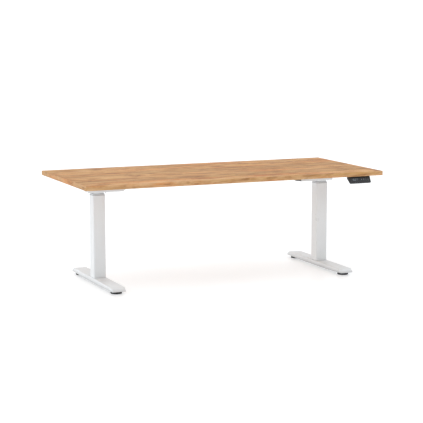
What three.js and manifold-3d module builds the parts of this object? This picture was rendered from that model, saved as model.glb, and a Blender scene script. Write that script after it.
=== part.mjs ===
// Height adjustable standing desk with two motorised three-stage columns.
// Millimetres, +Z up. Origin on the floor, midway between the legs and under the middle of the top.
// The user sits on the -Y side. Each leg is drawn once in leg coordinates: +U points at the desk's
// middle, +V is the side its motor is on, and Z is the desk's. The right leg is the same leg turned
// half a turn, so the two motors sit on opposite sides.

import * as THREE from "three";
import { mergeVertices } from "three/addons/utils/BufferGeometryUtils.js";
import Module from "manifold-3d";

const wasm = await Module();
wasm.setup();

// Overall sizes
const GAP = 0.3;
const TOP_LENGTH = 1800;
const TOP_DEPTH = 800;
const TOP_THICKNESS = 25;
const TOP_HEIGHT = 607;
const EDGE_BAND = 2;
const EDGE_RADIUS = 4;
const LEG_SPACING = 1400;
const UNDERSIDE = TOP_HEIGHT - TOP_THICKNESS;
const HUNG = UNDERSIDE - GAP;

// Feet and levellers
const FOOT_WIDTH = 80;
const FOOT_SHEET = 3;
const FOOT_TOP = 38;
const FOOT_PROFILE = [
  [-353, 16],
  [-150, 11],
  [150, 11],
  [353, 16],
  [326, 38],
  [-326, 38],
];
const FOOT_HOLLOW = [
  [-361.7, 5],
  [361.7, 5],
  [324.9, 35],
  [-324.9, 35],
];
const LEVELLER_Y = 300;
const LEVELLER_RADIUS = 32;
const STUD_RADIUS = 4;

// Telescopic tubes: across the flats, corner radius and wall
const OUTER = { size: 70, corner: 4, wall: 1.4, low: FOOT_TOP + GAP, high: 504 };
const MIDDLE = { size: 65, corner: 4, wall: 1.2, low: 48, high: 511 };
const INNER = { size: 60.2, corner: 3, wall: 1.4, low: 55 };
const COLLAR_LIP = 3;
const COLLAR_SKIRT = 32;

// Lifting screws
const PIPE = { outer: 14, inner: 12, low: 43.6, high: 440 };
const RISER = { outer: 17.5, inner: 15.5, low: 48.3, high: 470 };
const HOLLOW_SCREW = { outer: 10, inner: 6.8, low: 55, high: 476 };
const DRIVE_SCREW = { outer: 6, low: 60, high: 567 };

// Head, gearbox and motor
const HEAD_LOW = 521;
const HEAD_SHEET = 3;
const HEAD_HALF = 45;
const HEAD_OUT = -65;
const HEAD_IN = 144;
const WORM_HEIGHT = 552;
const WORM_OFFSET = 20;
const WORM_RADIUS = 7;
const WHEEL_RADIUS = 12.7;
const WHEEL_TEETH = 20;
const MOTOR_RADIUS = 21;
const MOTOR_END = 143.5;
const CAP = { low: [144.3, -5, 525], high: [171.5, 44.5, 579], corner: 10 };

// Frame under the top
const ARM_HALF = 300;
const ARM_WIDTH = 40;
const RAIL_SIZE = 25;
const RAIL_WALL = 2;
const RAIL_INNER = 45.3;
const RAIL_END = 750;
const RAIL_JOIN = [-140, 60];

// Control box, leads and handset
const BOX_X = [-60, 180];
const BOX_HALF = 42;
const BOX_LOW = 543;
const LEAD_RADIUS = 3;
const HANDSET_X = [686, 824];
const HANDSET_PROFILE = [
  [-384, HUNG],
  [-403, 545],
  [-392, 539],
  [-355, 566],
  [-355, HUNG],
];
const KEY_TRAVEL = 0.8;
const KEY_COLUMNS = [763, 777, 790.6, 804.4];
const KEY_WIDTH = 9.4;
const KEY_TALL = 19;
const KEY_SHORT = 8.6;
const KEY_PROUD = 1;
const POCKET_DEPTH = 2.8;
const WINDOW = { x: 722, width: 52, height: 22, depth: 1.2 };

const ROUND = 20;
const CORNER = 4;

const finish = (color, roughness, metalness) =>
  new THREE.MeshStandardMaterial({ color, roughness, metalness });

const WHITE_PAINT = () => finish(0xf0f0ee, 0.38, 0.05);
const OAK = () => finish(0xc89a70, 0.55, 0);
const BLACK_PLASTIC = () => finish(0x1a1a1b, 0.5, 0);
const GREY_PLASTIC = () => finish(0xd8d8d6, 0.5, 0);
const STEEL = () => finish(0x8f9296, 0.35, 0.9);
const ALUMINIUM = () => finish(0xb4b6b9, 0.4, 0.85);
const BRASS = () => finish(0xb08d57, 0.35, 0.9);

// ---- Geometry helpers ----

// Keeps only positions, merges shared vertices, drops flat triangles and faces everything outward.
function weld(geometry) {
  const bare = geometry.clone();
  for (const name of Object.keys(bare.attributes)) {
    if (name !== "position") {
      bare.deleteAttribute(name);
    }
  }
  const merged = mergeVertices(bare, 1e-4);
  const spot = merged.attributes.position;
  const index = [];
  const a = new THREE.Vector3();
  const b = new THREE.Vector3();
  const c = new THREE.Vector3();
  let volume = 0;
  for (let i = 0; i < merged.index.count; i += 3) {
    const tri = [0, 1, 2].map((k) => merged.index.getX(i + k));
    if (tri[0] === tri[1] || tri[1] === tri[2] || tri[2] === tri[0]) {
      continue;
    }
    a.fromBufferAttribute(spot, tri[0]);
    b.fromBufferAttribute(spot, tri[1]);
    c.fromBufferAttribute(spot, tri[2]);
    volume += a.dot(b.cross(c));
    index.push(...tri);
  }
  if (volume < 0) {
    for (let i = 0; i < index.length; i += 3) {
      [index[i], index[i + 1]] = [index[i + 1], index[i]];
    }
  }
  merged.setIndex(index);
  return merged;
}

function toSolid(geometry) {
  const welded = weld(geometry);
  const mesh = new wasm.Mesh({
    numProp: 3,
    vertProperties: new Float32Array(welded.attributes.position.array),
    triVerts: new Uint32Array(welded.index.array),
  });
  return new wasm.Manifold(mesh);
}

function fromSolid(manifold) {
  const mesh = manifold.getMesh();
  const geometry = new THREE.BufferGeometry();
  geometry.setAttribute("position", new THREE.BufferAttribute(mesh.vertProperties.slice(), 3));
  geometry.setIndex(Array.from(mesh.triVerts));
  return geometry;
}

function join(...geometries) {
  const solids = geometries.map(toSolid);
  return fromSolid(solids.reduce((whole, piece) => whole.add(piece)));
}

function cut(geometry, ...tools) {
  return fromSolid(tools.map(toSolid).reduce((whole, tool) => whole.subtract(tool), toSolid(geometry)));
}

function block(low, high) {
  const size = low.map((value, i) => high[i] - value);
  const geometry = new THREE.BoxGeometry(...size);
  return geometry.translate(...low.map((value, i) => value + size[i] / 2));
}

function squircle(width, depth, corner) {
  const x = width / 2;
  const y = depth / 2;
  const shape = new THREE.Shape();
  shape.moveTo(-x + corner, -y);
  shape.lineTo(x - corner, -y);
  shape.absarc(x - corner, -y + corner, corner, -Math.PI / 2, 0);
  shape.lineTo(x, y - corner);
  shape.absarc(x - corner, y - corner, corner, 0, Math.PI / 2);
  shape.lineTo(-x + corner, y);
  shape.absarc(-x + corner, y - corner, corner, Math.PI / 2, Math.PI);
  shape.lineTo(-x, -y + corner);
  shape.absarc(-x + corner, -y + corner, corner, Math.PI, Math.PI * 1.5);
  return shape;
}

function rise(shape, low, high, segments = CORNER) {
  const options = { depth: high - low, bevelEnabled: false, curveSegments: segments / 2 };
  return weld(new THREE.ExtrudeGeometry(shape, options).translate(0, 0, low));
}

// A square ring: outside size and corner, inside size and corner, from low to high.
function squareRing(size, corner, bore, boreCorner, low, high) {
  const shape = squircle(size, size, corner);
  shape.holes.push(squircle(bore, bore, boreCorner));
  return rise(shape, low, high);
}

// A closed outline given as [Y, Z] points, drawn out along X from low to high.
function sidewaysPrism(outline, low, high) {
  const shape = new THREE.Shape(outline.map(([y, z]) => new THREE.Vector2(y, z)));
  const geometry = new THREE.ExtrudeGeometry(shape, { depth: high - low, bevelEnabled: false });
  const axes = new THREE.Matrix4().makeBasis(
    new THREE.Vector3(0, 1, 0),
    new THREE.Vector3(0, 0, 1),
    new THREE.Vector3(1, 0, 0),
  );
  return weld(geometry.applyMatrix4(axes).translate(low, 0, 0));
}

// A turned piece about Z from [radius, height] points.
function turned(profile, segments = ROUND) {
  const points = profile.map(([r, z]) => new THREE.Vector2(r, z));
  return weld(new THREE.LatheGeometry(points, segments).rotateX(Math.PI / 2));
}

// A turned ring about Z: the profile is closed back onto its first point.
function turnedRing(profile, segments = ROUND) {
  return turned([...profile, profile[0]], segments);
}

// A turned piece lying along X, on the worm's centre line, from [radius, x] points.
function turnedAlong(profile, segments = ROUND) {
  return turned(profile, segments).rotateY(Math.PI / 2).translate(0, WORM_OFFSET, WORM_HEIGHT);
}

function drilled(x, y, radius, low, high) {
  const geometry = new THREE.CylinderGeometry(radius, radius, high - low, ROUND);
  return geometry.rotateX(Math.PI / 2).translate(x, y, (low + high) / 2);
}

function lead(points) {
  const path = new THREE.CatmullRomCurve3(
    points.map((p) => new THREE.Vector3(...p)),
    false,
    "centripetal",
  );
  const round = new THREE.Shape().absarc(0, 0, LEAD_RADIUS, 0, Math.PI * 2);
  const options = { steps: points.length * 3, curveSegments: 4, extrudePath: path };
  return weld(new THREE.ExtrudeGeometry(round, options));
}

function piece(parent, name, geometry, material) {
  const mesh = new THREE.Mesh(geometry, material);
  mesh.name = name;
  parent.add(mesh);
  return mesh;
}

// ---- Leg ----

function footGeometry() {
  const half = FOOT_WIDTH / 2;
  const shell = cut(
    sidewaysPrism(FOOT_PROFILE, -half, half),
    sidewaysPrism(FOOT_HOLLOW, -half + FOOT_SHEET, half - FOOT_SHEET),
  );
  const under = FOOT_TOP - FOOT_SHEET;
  const bosses = [-LEVELLER_Y, LEVELLER_Y].map((y) => drilled(0, y, 8, 20, under + 1));
  const threads = [-LEVELLER_Y, LEVELLER_Y].map((y) => drilled(0, y, STUD_RADIUS + 0.4, 19, under));
  return cut(join(shell, ...bosses), ...threads);
}

function levellerGeometry() {
  const r = LEVELLER_RADIUS;
  return turned([
    [0, 0],
    [r - 1.5, 0],
    [r, 1.5],
    [r, 6],
    [r - 2, 8],
    [8, 8],
    [8, 12],
    [STUD_RADIUS, 12],
    [STUD_RADIUS, 28.5],
    [0, 28.5],
  ]);
}

function outerTubeGeometry() {
  const { size, corner, wall, low, high } = OUTER;
  const plate = rise(squircle(size, size, corner), low, low + 5);
  const ring = squareRing(size, corner, size - 2 * wall, corner - wall, low + 4, high);
  return join(plate, ring);
}

function tubeGeometry({ size, corner, wall, low }, high) {
  return squareRing(size, corner, size - 2 * wall, corner - wall, low, high);
}

// A plastic guide ring: a lip on the tube's end and a skirt between it and the tube that slides in it.
function collarGeometry(tube, slider) {
  const opening = slider.size + 2 * GAP;
  const openingCorner = slider.corner + GAP;
  const inside = tube.size - 2 * tube.wall - 2 * GAP;
  const insideCorner = tube.corner - tube.wall - GAP;
  const seat = tube.high + GAP;
  const lip = squareRing(tube.size, tube.corner, opening, openingCorner, seat, seat + COLLAR_LIP);
  const skirt = squareRing(inside, insideCorner, opening, openingCorner, seat - COLLAR_SKIRT, seat + 1);
  return join(lip, skirt);
}

function standPipeGeometry() {
  const { outer, inner, low, high } = PIPE;
  return turnedRing([
    [inner, low],
    [29, low],
    [29, low + 4],
    [outer, low + 4],
    [outer, high],
    [inner, high],
  ]);
}

function baseNutGeometry() {
  const bore = HOLLOW_SCREW.outer + 0.4;
  return turnedRing([
    [bore, PIPE.high - 10],
    [PIPE.inner - GAP, PIPE.high - 10],
    [PIPE.inner - GAP, PIPE.high + GAP],
    [PIPE.outer, PIPE.high + GAP],
    [PIPE.outer, PIPE.high + 18],
    [bore, PIPE.high + 18],
  ]);
}

function riserGeometry() {
  const plateSize = MIDDLE.size - 2 * MIDDLE.wall - 2 * GAP;
  const plate = rise(squircle(plateSize, plateSize, MIDDLE.corner - 1.5), RISER.low, RISER.low + 4);
  const wall = drilled(0, 0, RISER.outer, RISER.low, RISER.high);
  return cut(join(plate, wall), drilled(0, 0, RISER.inner, RISER.low - 1, RISER.high + 1));
}

function hollowScrewGeometry() {
  const { outer, inner, low, high } = HOLLOW_SCREW;
  const seat = RISER.high + GAP;
  return turnedRing([
    [inner, low],
    [outer - 1, low],
    [outer, low + 1],
    [outer, seat],
    [RISER.outer - GAP, seat],
    [RISER.outer - GAP, high],
    [inner, high],
  ]);
}

function carrierNutGeometry() {
  const skirt = RISER.outer + GAP;
  const crown = HOLLOW_SCREW.high + GAP;
  return turnedRing([
    [skirt, RISER.high - 15],
    [skirt + 2.2, RISER.high - 15],
    [skirt + 2.2, crown + 14],
    [skirt, crown + 16],
    [DRIVE_SCREW.outer + 0.4, crown + 16],
    [DRIVE_SCREW.outer + 0.4, crown],
    [skirt, crown],
  ]);
}

function driveScrewGeometry() {
  const { outer, low, high } = DRIVE_SCREW;
  return turned([
    [0, low],
    [outer - 1.5, low],
    [outer, low + 2],
    [outer, high - 7],
    [outer - 1.5, high - 5],
    [outer - 1.5, high],
    [0, high],
  ]);
}

function headGeometry() {
  const s = HEAD_SHEET;
  const h = HEAD_HALF;
  const z = HEAD_LOW;
  return cut(
    join(
      block([HEAD_OUT, -h, z], [HEAD_IN, h, z + s]),
      block([HEAD_OUT, -h, z], [HEAD_IN, -h + s, HUNG]),
      block([HEAD_OUT, h - s, z], [HEAD_IN, h, HUNG]),
      block([HEAD_OUT, -h, z], [HEAD_OUT + s, h, HUNG]),
    ),
    drilled(0, 0, DRIVE_SCREW.outer + 0.6, z - 1, z + s + 1),
  );
}

function gearboxGeometry() {
  const worm = turnedAlong([
    [0, -24],
    [WORM_RADIUS + 1.2, -24],
    [WORM_RADIUS + 1.2, 40],
    [0, 40],
  ]);
  return cut(
    block([-30, -25, HEAD_LOW + HEAD_SHEET + GAP], [32, 38, 575]),
    drilled(0, 0, WHEEL_RADIUS + 1.3, WORM_HEIGHT - 7, WORM_HEIGHT + 8),
    drilled(0, 0, DRIVE_SCREW.outer + 0.5, HEAD_LOW, DRIVE_SCREW.high + 1),
    worm,
  );
}

function wormGeometry() {
  return turnedAlong([
    [0, -22],
    [4, -22],
    [4, -18],
    [WORM_RADIUS, -17],
    [WORM_RADIUS, 17],
    [4, 18],
    [4, 31.5],
    [0, 31.5],
  ]);
}

function wormWheelGeometry() {
  const shape = new THREE.Shape();
  const step = (Math.PI * 2) / WHEEL_TEETH;
  const root = WHEEL_RADIUS - 1.4;
  const flanks = [
    [-0.32, root],
    [-0.16, WHEEL_RADIUS],
    [0.16, WHEEL_RADIUS],
    [0.32, root],
  ];
  const points = [];
  for (let tooth = 0; tooth < WHEEL_TEETH; tooth += 1) {
    for (const [share, radius] of flanks) {
      const angle = (tooth + share) * step;
      points.push(new THREE.Vector2(radius * Math.cos(angle), radius * Math.sin(angle)));
    }
  }
  shape.setFromPoints(points);
  const blank = rise(shape, WORM_HEIGHT - 6, WORM_HEIGHT + 6);
  return cut(blank, drilled(0, 0, DRIVE_SCREW.outer + 0.4, WORM_HEIGHT - 9, WORM_HEIGHT + 9));
}

function motorGeometry() {
  return turnedAlong([
    [0, 32.6],
    [MOTOR_RADIUS - 1, 32.6],
    [MOTOR_RADIUS, 33.6],
    [MOTOR_RADIUS, MOTOR_END - 1],
    [MOTOR_RADIUS - 1, MOTOR_END],
    [0, MOTOR_END],
  ]);
}

// The motor's squared end cap, drawn across the desk and turned to lie along X.
function motorCapGeometry() {
  const { low, high, corner } = CAP;
  const cap = rise(squircle(high[1] - low[1], high[2] - low[2], corner), low[0], high[0]);
  const axes = new THREE.Matrix4().makeBasis(
    new THREE.Vector3(0, 1, 0),
    new THREE.Vector3(0, 0, 1),
    new THREE.Vector3(1, 0, 0),
  );
  return cap.applyMatrix4(axes).translate(0, (low[1] + high[1]) / 2, (low[2] + high[2]) / 2);
}

function sideArmGeometry() {
  const high = HEAD_OUT - GAP;
  const low = high - ARM_WIDTH;
  const a = ARM_HALF;
  const outline = [
    [-a, HUNG],
    [-a, HUNG - 11],
    [-60, HUNG - 35],
    [60, HUNG - 35],
    [a, HUNG - 11],
    [a, HUNG],
  ];
  const hollow = [
    [-a - 1, HUNG - 3],
    [-a - 1, HUNG - 50],
    [a + 1, HUNG - 50],
    [a + 1, HUNG - 3],
  ];
  const channel = cut(sidewaysPrism(outline, low, high), sidewaysPrism(hollow, low + 2.5, high - 2.5));
  const screws = [-260, -90, 90, 260].map((y) => drilled((low + high) / 2, y, 3.2, HUNG - 5, HUNG + 1));
  return cut(channel, ...screws);
}

function makeLeg(side) {
  const leg = new THREE.Group();
  const add = (name, geometry, material) => piece(leg, `${side}_${name}`, geometry, material);
  add("foot", footGeometry(), WHITE_PAINT());
  const front = side === "left" ? -1 : 1;
  for (const [end, sign] of [
    ["front", front],
    ["back", -front],
  ]) {
    add(`${end}_leveller`, levellerGeometry(), BLACK_PLASTIC()).position.set(0, sign * LEVELLER_Y, 0);
  }
  add("outer_tube", outerTubeGeometry(), WHITE_PAINT());
  add("outer_collar", collarGeometry(OUTER, MIDDLE), GREY_PLASTIC());
  add("stand_pipe", standPipeGeometry(), STEEL());
  add("base_nut", baseNutGeometry(), BRASS());
  add("middle_tube", tubeGeometry(MIDDLE, MIDDLE.high), WHITE_PAINT());
  add("middle_collar", collarGeometry(MIDDLE, INNER), GREY_PLASTIC());
  add("riser", riserGeometry(), STEEL());
  add("carrier_nut", carrierNutGeometry(), BRASS());
  add("hollow_screw", hollowScrewGeometry(), STEEL());
  add("inner_tube", tubeGeometry(INNER, HEAD_LOW - GAP), WHITE_PAINT());
  add("head", headGeometry(), WHITE_PAINT());
  add("gearbox", gearboxGeometry(), ALUMINIUM());
  add("worm", wormGeometry(), STEEL());
  add("worm_wheel", wormWheelGeometry(), BRASS());
  add("drive_screw", driveScrewGeometry(), STEEL());
  add("motor", motorGeometry(), ALUMINIUM());
  add("motor_cap", motorCapGeometry(), BLACK_PLASTIC());
  add("side_arm", sideArmGeometry(), WHITE_PAINT());
  return leg;
}

// ---- Frame and top ----

function railGeometry(sign, low, high, inset) {
  const near = RAIL_INNER + inset;
  const far = RAIL_INNER + RAIL_SIZE - inset;
  const floor = HUNG - RAIL_SIZE + inset;
  const ceiling = inset > 0 ? HUNG - GAP : HUNG;
  const ys = [sign * near, sign * far].sort((a, b) => a - b);
  const body = block([low, ys[0], floor], [high, ys[1], ceiling]);
  const hollowLow = [low - 1, ys[0] + RAIL_WALL, floor + RAIL_WALL];
  return cut(body, block(hollowLow, [high + 1, ys[1] - RAIL_WALL, ceiling + 1]));
}

function addFrame(desk) {
  for (const [place, sign] of [
    ["front", -1],
    ["back", 1],
  ]) {
    const left = railGeometry(sign, -RAIL_END, RAIL_JOIN[1], 0);
    const right = railGeometry(sign, RAIL_JOIN[0], RAIL_END, RAIL_WALL + GAP);
    piece(desk, `${place}_left_rail`, left, WHITE_PAINT());
    piece(desk, `${place}_right_rail`, right, WHITE_PAINT());
  }
}

function addTop(desk) {
  const bandLength = TOP_LENGTH - 2 * EDGE_BAND;
  const bandDepth = TOP_DEPTH - 2 * EDGE_BAND;
  const boardCorner = EDGE_RADIUS - EDGE_BAND;
  const board = squircle(bandLength - 2 * GAP, bandDepth - 2 * GAP, boardCorner);
  const band = squircle(TOP_LENGTH, TOP_DEPTH, EDGE_RADIUS);
  band.holes.push(squircle(bandLength, bandDepth, boardCorner));
  piece(desk, "tabletop_board", rise(board, UNDERSIDE, TOP_HEIGHT), OAK());
  piece(desk, "edge_band", rise(band, UNDERSIDE, TOP_HEIGHT), OAK());
}

// ---- Electrics ----

function addControlBox(desk) {
  const h = BOX_HALF;
  const outline = [
    [-h, HUNG],
    [-h, BOX_LOW + 6],
    [-h + 6, BOX_LOW],
    [h - 6, BOX_LOW],
    [h, BOX_LOW + 6],
    [h, HUNG],
  ];
  const shell = sidewaysPrism(outline, ...BOX_X);
  const inlet = block([BOX_X[1] - 12, 8, 551], [BOX_X[1] + 1, 33, 569]);
  const prongs = [14, 20.5, 27].map((y) => block([BOX_X[1] - 13, y - 1, 557], [BOX_X[1] - 3, y + 1, 563]));
  piece(desk, "control_box", join(cut(shell, inlet), ...prongs), BLACK_PLASTIC());
}

function addLeads(desk) {
  const capEnd = LEG_SPACING / 2 - CAP.high[0] - 0.5;
  const left = [
    [-capEnd, 20, WORM_HEIGHT],
    [-capEnd + 10, 20, WORM_HEIGHT],
    [-capEnd + 42, 19, 558],
    [-440, 15, 572],
    [-300, 10, 576],
    [-120, 10, 576],
    [-92, 10, 567],
    [-74, 10, 562],
    [BOX_X[0] - 0.6, 10, 562],
  ];
  const right = [
    [capEnd, -20, WORM_HEIGHT],
    [capEnd - 10, -20, WORM_HEIGHT],
    [capEnd - 42, -19, 558],
    [440, -15, 572],
    [360, -12, 576],
    [240, -12, 576],
    [212, -12, 567],
    [194, -12, 562],
    [BOX_X[1] + 0.6, -12, 562],
  ];
  const handset = [
    [740, -354.4, 574.5],
    [738, -336, 576],
    [690, -300, 577],
    [450, -270, 577],
    [200, -230, 577],
    [70, -150, 576],
    [36, -104, 566],
    [30, -84, 553.5],
    [30, -60, 551],
    [30, -BOX_HALF - 0.5, 552],
  ];
  piece(desk, "left_motor_lead", lead(left), BLACK_PLASTIC());
  piece(desk, "right_motor_lead", lead(right), BLACK_PLASTIC());
  piece(desk, "handset_lead", lead(handset), BLACK_PLASTIC());
}

// The handset's face runs between the first two profile points. Face coordinates: X along the desk,
// Y up the face and Z out of it, from the face's middle.
function faceFrame() {
  const [top, bottom] = HANDSET_PROFILE;
  const up = new THREE.Vector3(0, top[0] - bottom[0], top[1] - bottom[1]).normalize();
  const along = new THREE.Vector3(1, 0, 0);
  const out = new THREE.Vector3().crossVectors(along, up);
  const frame = new THREE.Matrix4().makeBasis(along, up, out);
  return frame.setPosition(0, (top[0] + bottom[0]) / 2, (top[1] + bottom[1]) / 2);
}

function faceBlock(x, y, width, height, low, high) {
  const plate = rise(squircle(width, height, 1.2), low, high, 2);
  return plate.translate(x, y, 0).applyMatrix4(faceFrame());
}

function addHandset(desk) {
  const step = KEY_SHORT / 2 + 0.9;
  const keys = [
    ["key_up", KEY_COLUMNS[0], 0, KEY_TALL],
    ["key_down", KEY_COLUMNS[1], 0, KEY_TALL],
    ["key_preset_1", KEY_COLUMNS[2], step, KEY_SHORT],
    ["key_preset_2", KEY_COLUMNS[2], -step, KEY_SHORT],
    ["key_preset_3", KEY_COLUMNS[3], step, KEY_SHORT],
    ["key_memory", KEY_COLUMNS[3], -step, KEY_SHORT],
  ];
  const pockets = keys.map(([, x, y, tall]) =>
    faceBlock(x, y, KEY_WIDTH + 2 * GAP, tall + 2 * GAP, -POCKET_DEPTH, 5),
  );
  const { x, width, height, depth } = WINDOW;
  pockets.push(faceBlock(x, 0, width + 2 * GAP, height + 2 * GAP, -depth - GAP, 5));
  piece(desk, "handset_case", cut(sidewaysPrism(HANDSET_PROFILE, ...HANDSET_X), ...pockets), BLACK_PLASTIC());
  piece(desk, "display_window", faceBlock(x, 0, width, height, -depth, 0), finish(0x0c0d0f, 0.12, 0));
  const floor = -POCKET_DEPTH + KEY_TRAVEL + 0.4;
  for (const [name, keyX, keyY, tall] of keys) {
    piece(desk, name, faceBlock(keyX, keyY, KEY_WIDTH, tall, floor, KEY_PROUD), finish(0x3c3d3f, 0.55, 0));
  }
}

// ---- Assembly ----

const desk = new THREE.Group();
const leftLeg = makeLeg("left");
leftLeg.position.x = -LEG_SPACING / 2;
const rightLeg = makeLeg("right");
rightLeg.position.x = LEG_SPACING / 2;
rightLeg.rotation.z = Math.PI;
desk.add(leftLeg, rightLeg);
addFrame(desk);
addTop(desk);
addControlBox(desk);
addLeads(desk);
addHandset(desk);

export default desk;
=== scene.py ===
"""Looks of a height adjustable standing desk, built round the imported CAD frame.

Sizes inside the classes are millimetres, as on a maker's drawing, and every mesh is turned to
metres as it is delivered. The user sits on the -Y side. Each leg is drawn once in its own place:
+X of a leg points at the desk's middle and +Y is the side its motor is on.
"""

import logging
import math
import sys
from collections.abc import Iterable, Sequence
from dataclasses import dataclass, field
from enum import Enum

import bmesh
import bpy
from mathutils import Matrix, Vector

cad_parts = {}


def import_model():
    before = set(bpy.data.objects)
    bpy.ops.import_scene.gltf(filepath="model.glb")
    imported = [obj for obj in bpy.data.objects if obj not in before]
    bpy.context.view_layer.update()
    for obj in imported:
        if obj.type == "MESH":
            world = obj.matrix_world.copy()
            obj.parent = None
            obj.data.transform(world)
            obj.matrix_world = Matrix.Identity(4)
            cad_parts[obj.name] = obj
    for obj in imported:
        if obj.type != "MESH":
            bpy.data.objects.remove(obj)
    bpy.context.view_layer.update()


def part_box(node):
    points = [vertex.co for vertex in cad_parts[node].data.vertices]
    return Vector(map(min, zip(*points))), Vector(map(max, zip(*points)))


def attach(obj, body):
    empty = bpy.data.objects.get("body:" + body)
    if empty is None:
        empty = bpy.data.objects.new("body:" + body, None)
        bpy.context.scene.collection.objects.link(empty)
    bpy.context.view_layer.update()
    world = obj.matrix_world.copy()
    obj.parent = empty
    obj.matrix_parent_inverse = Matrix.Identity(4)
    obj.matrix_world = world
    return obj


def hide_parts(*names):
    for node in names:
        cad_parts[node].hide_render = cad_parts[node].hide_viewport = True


LOG = logging.getLogger("desk")
MM = 0.001
TURN = 2 * math.pi

Colour = tuple[float, float, float, float]
Outline = list[tuple[float, float]]
Loop = list[Vector]
Spot = tuple[float, float, float]
Stand = tuple[Spot, Spot, Spot]

# Turns a shape drawn upward along Z so that it runs along X, keeping its hand.
ALONG_X = Matrix(((0, 0, 1, 0), (1, 0, 0, 0), (0, 1, 0, 0), (0, 0, 0, 1)))
HERE = Matrix.Identity(4)
UP, DOWN, EAST = (0, 0, 1), (0, 0, -1), (1, 0, 0)

# What several classes share, millimetres
LEVELLER_REACH = 300.0
PLATE_TOP = 35.4
DRIVE_Y, DRIVE_Z = 20, 552
RAIL_FACE, RAIL_MIDDLE = 70.2, 569
WINDOW_X = 722

# The keys in order, and what is printed on each but the two arrows
KEY_WORDS = {
    "key_up": "",
    "key_down": "",
    "key_preset_1": "1",
    "key_preset_2": "2",
    "key_preset_3": "3",
    "key_memory": "M",
}


class Slot(Enum):
    """The record's material slots."""

    OAK_TOP = "oak_top"
    OAK_EDGE = "oak_edge"
    WHITE_FRAME = "white_frame"
    STEEL = "steel"
    ALUMINIUM = "aluminium"
    BRASS = "brass"
    GUIDE_PLASTIC = "guide_plastic"
    BLACK_PLASTIC = "black_plastic"
    KEY_PLASTIC = "key_plastic"
    WINDOW = "window"
    PAD_RUBBER = "pad_rubber"
    LEAD_JACKET = "lead_jacket"


class Side(Enum):
    """The desk's two legs."""

    LEFT = "left"
    RIGHT = "right"


class Lay(Enum):
    """The direction in which a tool left its marks on metal."""

    X = 0
    Y = 1
    Z = 2


def srgb(red: float, green: float, blue: float) -> Colour:
    """Turns a 0-255 screen colour into a shader's colour.

    Args:
        red: Red, 0 to 255.
        green: Green, 0 to 255.
        blue: Blue, 0 to 255.

    Returns:
        The linear colour with full alpha.
    """
    parts = [value / 255 for value in (red, green, blue)]
    red, green, blue = [p / 12.92 if p <= 0.04045 else ((p + 0.055) / 1.055) ** 2.4 for p in parts]
    return (red, green, blue, 1.0)


# ---- Node trees ----


class Signal:
    """One node output that can be reckoned with, as in ``1 - mask * 0.5``."""

    def __init__(self, board: "Board", socket: bpy.types.NodeSocket) -> None:
        """Keeps the output and the board on which its sums are made."""
        self.board = board
        self.socket = socket

    def __add__(self, other: "Signal | float") -> "Signal":
        """Returns this plus other."""
        return self.board.math("ADD", self, other)

    def __sub__(self, other: "Signal | float") -> "Signal":
        """Returns this minus other."""
        return self.board.math("SUBTRACT", self, other)

    def __rsub__(self, other: float) -> "Signal":
        """Returns other minus this."""
        return self.board.math("SUBTRACT", other, self)

    def __mul__(self, other: "Signal | float") -> "Signal":
        """Returns this times other."""
        return self.board.math("MULTIPLY", self, other)

    def __truediv__(self, other: "Signal | float") -> "Signal":
        """Returns this divided by other."""
        return self.board.math("DIVIDE", self, other)

    def __rtruediv__(self, other: float) -> "Signal":
        """Returns other divided by this."""
        return self.board.math("DIVIDE", other, self)

    def __pow__(self, other: "Signal | float") -> "Signal":
        """Returns this to the power of other."""
        return self.board.math("POWER", self, other)

    def __gt__(self, other: "Signal | float") -> "Signal":
        """Returns 1 where this is more than other, else 0."""
        return self.board.math("GREATER_THAN", self, other)

    def __lt__(self, other: "Signal | float") -> "Signal":
        """Returns 1 where this is less than other, else 0."""
        return self.board.math("LESS_THAN", self, other)

    __radd__ = __add__
    __rmul__ = __mul__


class Board:
    """A node tree with one way to add a node, for finishes and for shapes alike."""

    def __init__(self, tree: bpy.types.NodeTree) -> None:
        """Takes the tree that the nodes go on."""
        self.tree = tree

    def node(self, kind: str, settings: dict | None = None, sockets: dict | None = None) -> bpy.types.Node:
        """Adds one node.

        Args:
            kind: The node's type.
            settings: Its settings, set first; "stops" are a ramp's (place, colour) pairs.
            sockets: Values or signals for its inputs, by name or number.

        Returns:
            The node.
        """
        node = self.tree.nodes.new(kind)
        for name, value in (settings or {}).items():
            if name == "stops":
                elements = node.color_ramp.elements
                while len(elements) < len(value):
                    elements.new(0.5)
                for element, (place, colour) in zip(elements, value):
                    element.position, element.color = place, colour
            else:
                setattr(node, name, value)
        for key, value in (sockets or {}).items():
            if isinstance(value, Signal):
                self.tree.links.new(value.socket, node.inputs[key])
            else:
                node.inputs[key].default_value = value
        return node

    def take(
        self, kind: str, settings: dict | None = None, sockets: dict | None = None, output: int | str = 0
    ) -> Signal:
        """Adds one node and returns its output of this name or number."""
        return Signal(self, self.node(kind, settings, sockets).outputs[output])

    def math(self, operation: str, *values: "Signal | float", clamp: bool = False) -> Signal:
        """Returns a Math node's result, held between 0 and 1 where clamp is set."""
        settings = {"operation": operation, "use_clamp": clamp}
        return self.take("ShaderNodeMath", settings, dict(enumerate(values)))

    def split(self, vector: Signal) -> tuple[Signal, Signal, Signal]:
        """Returns a vector's three parts."""
        node = self.node("ShaderNodeSeparateXYZ", sockets={0: vector})
        return tuple(Signal(self, output) for output in node.outputs)

    def join(self, x: "Signal | float", y: "Signal | float", z: "Signal | float") -> Signal:
        """Returns three values as one vector."""
        return self.take("ShaderNodeCombineXYZ", sockets={"X": x, "Y": y, "Z": z})


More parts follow.
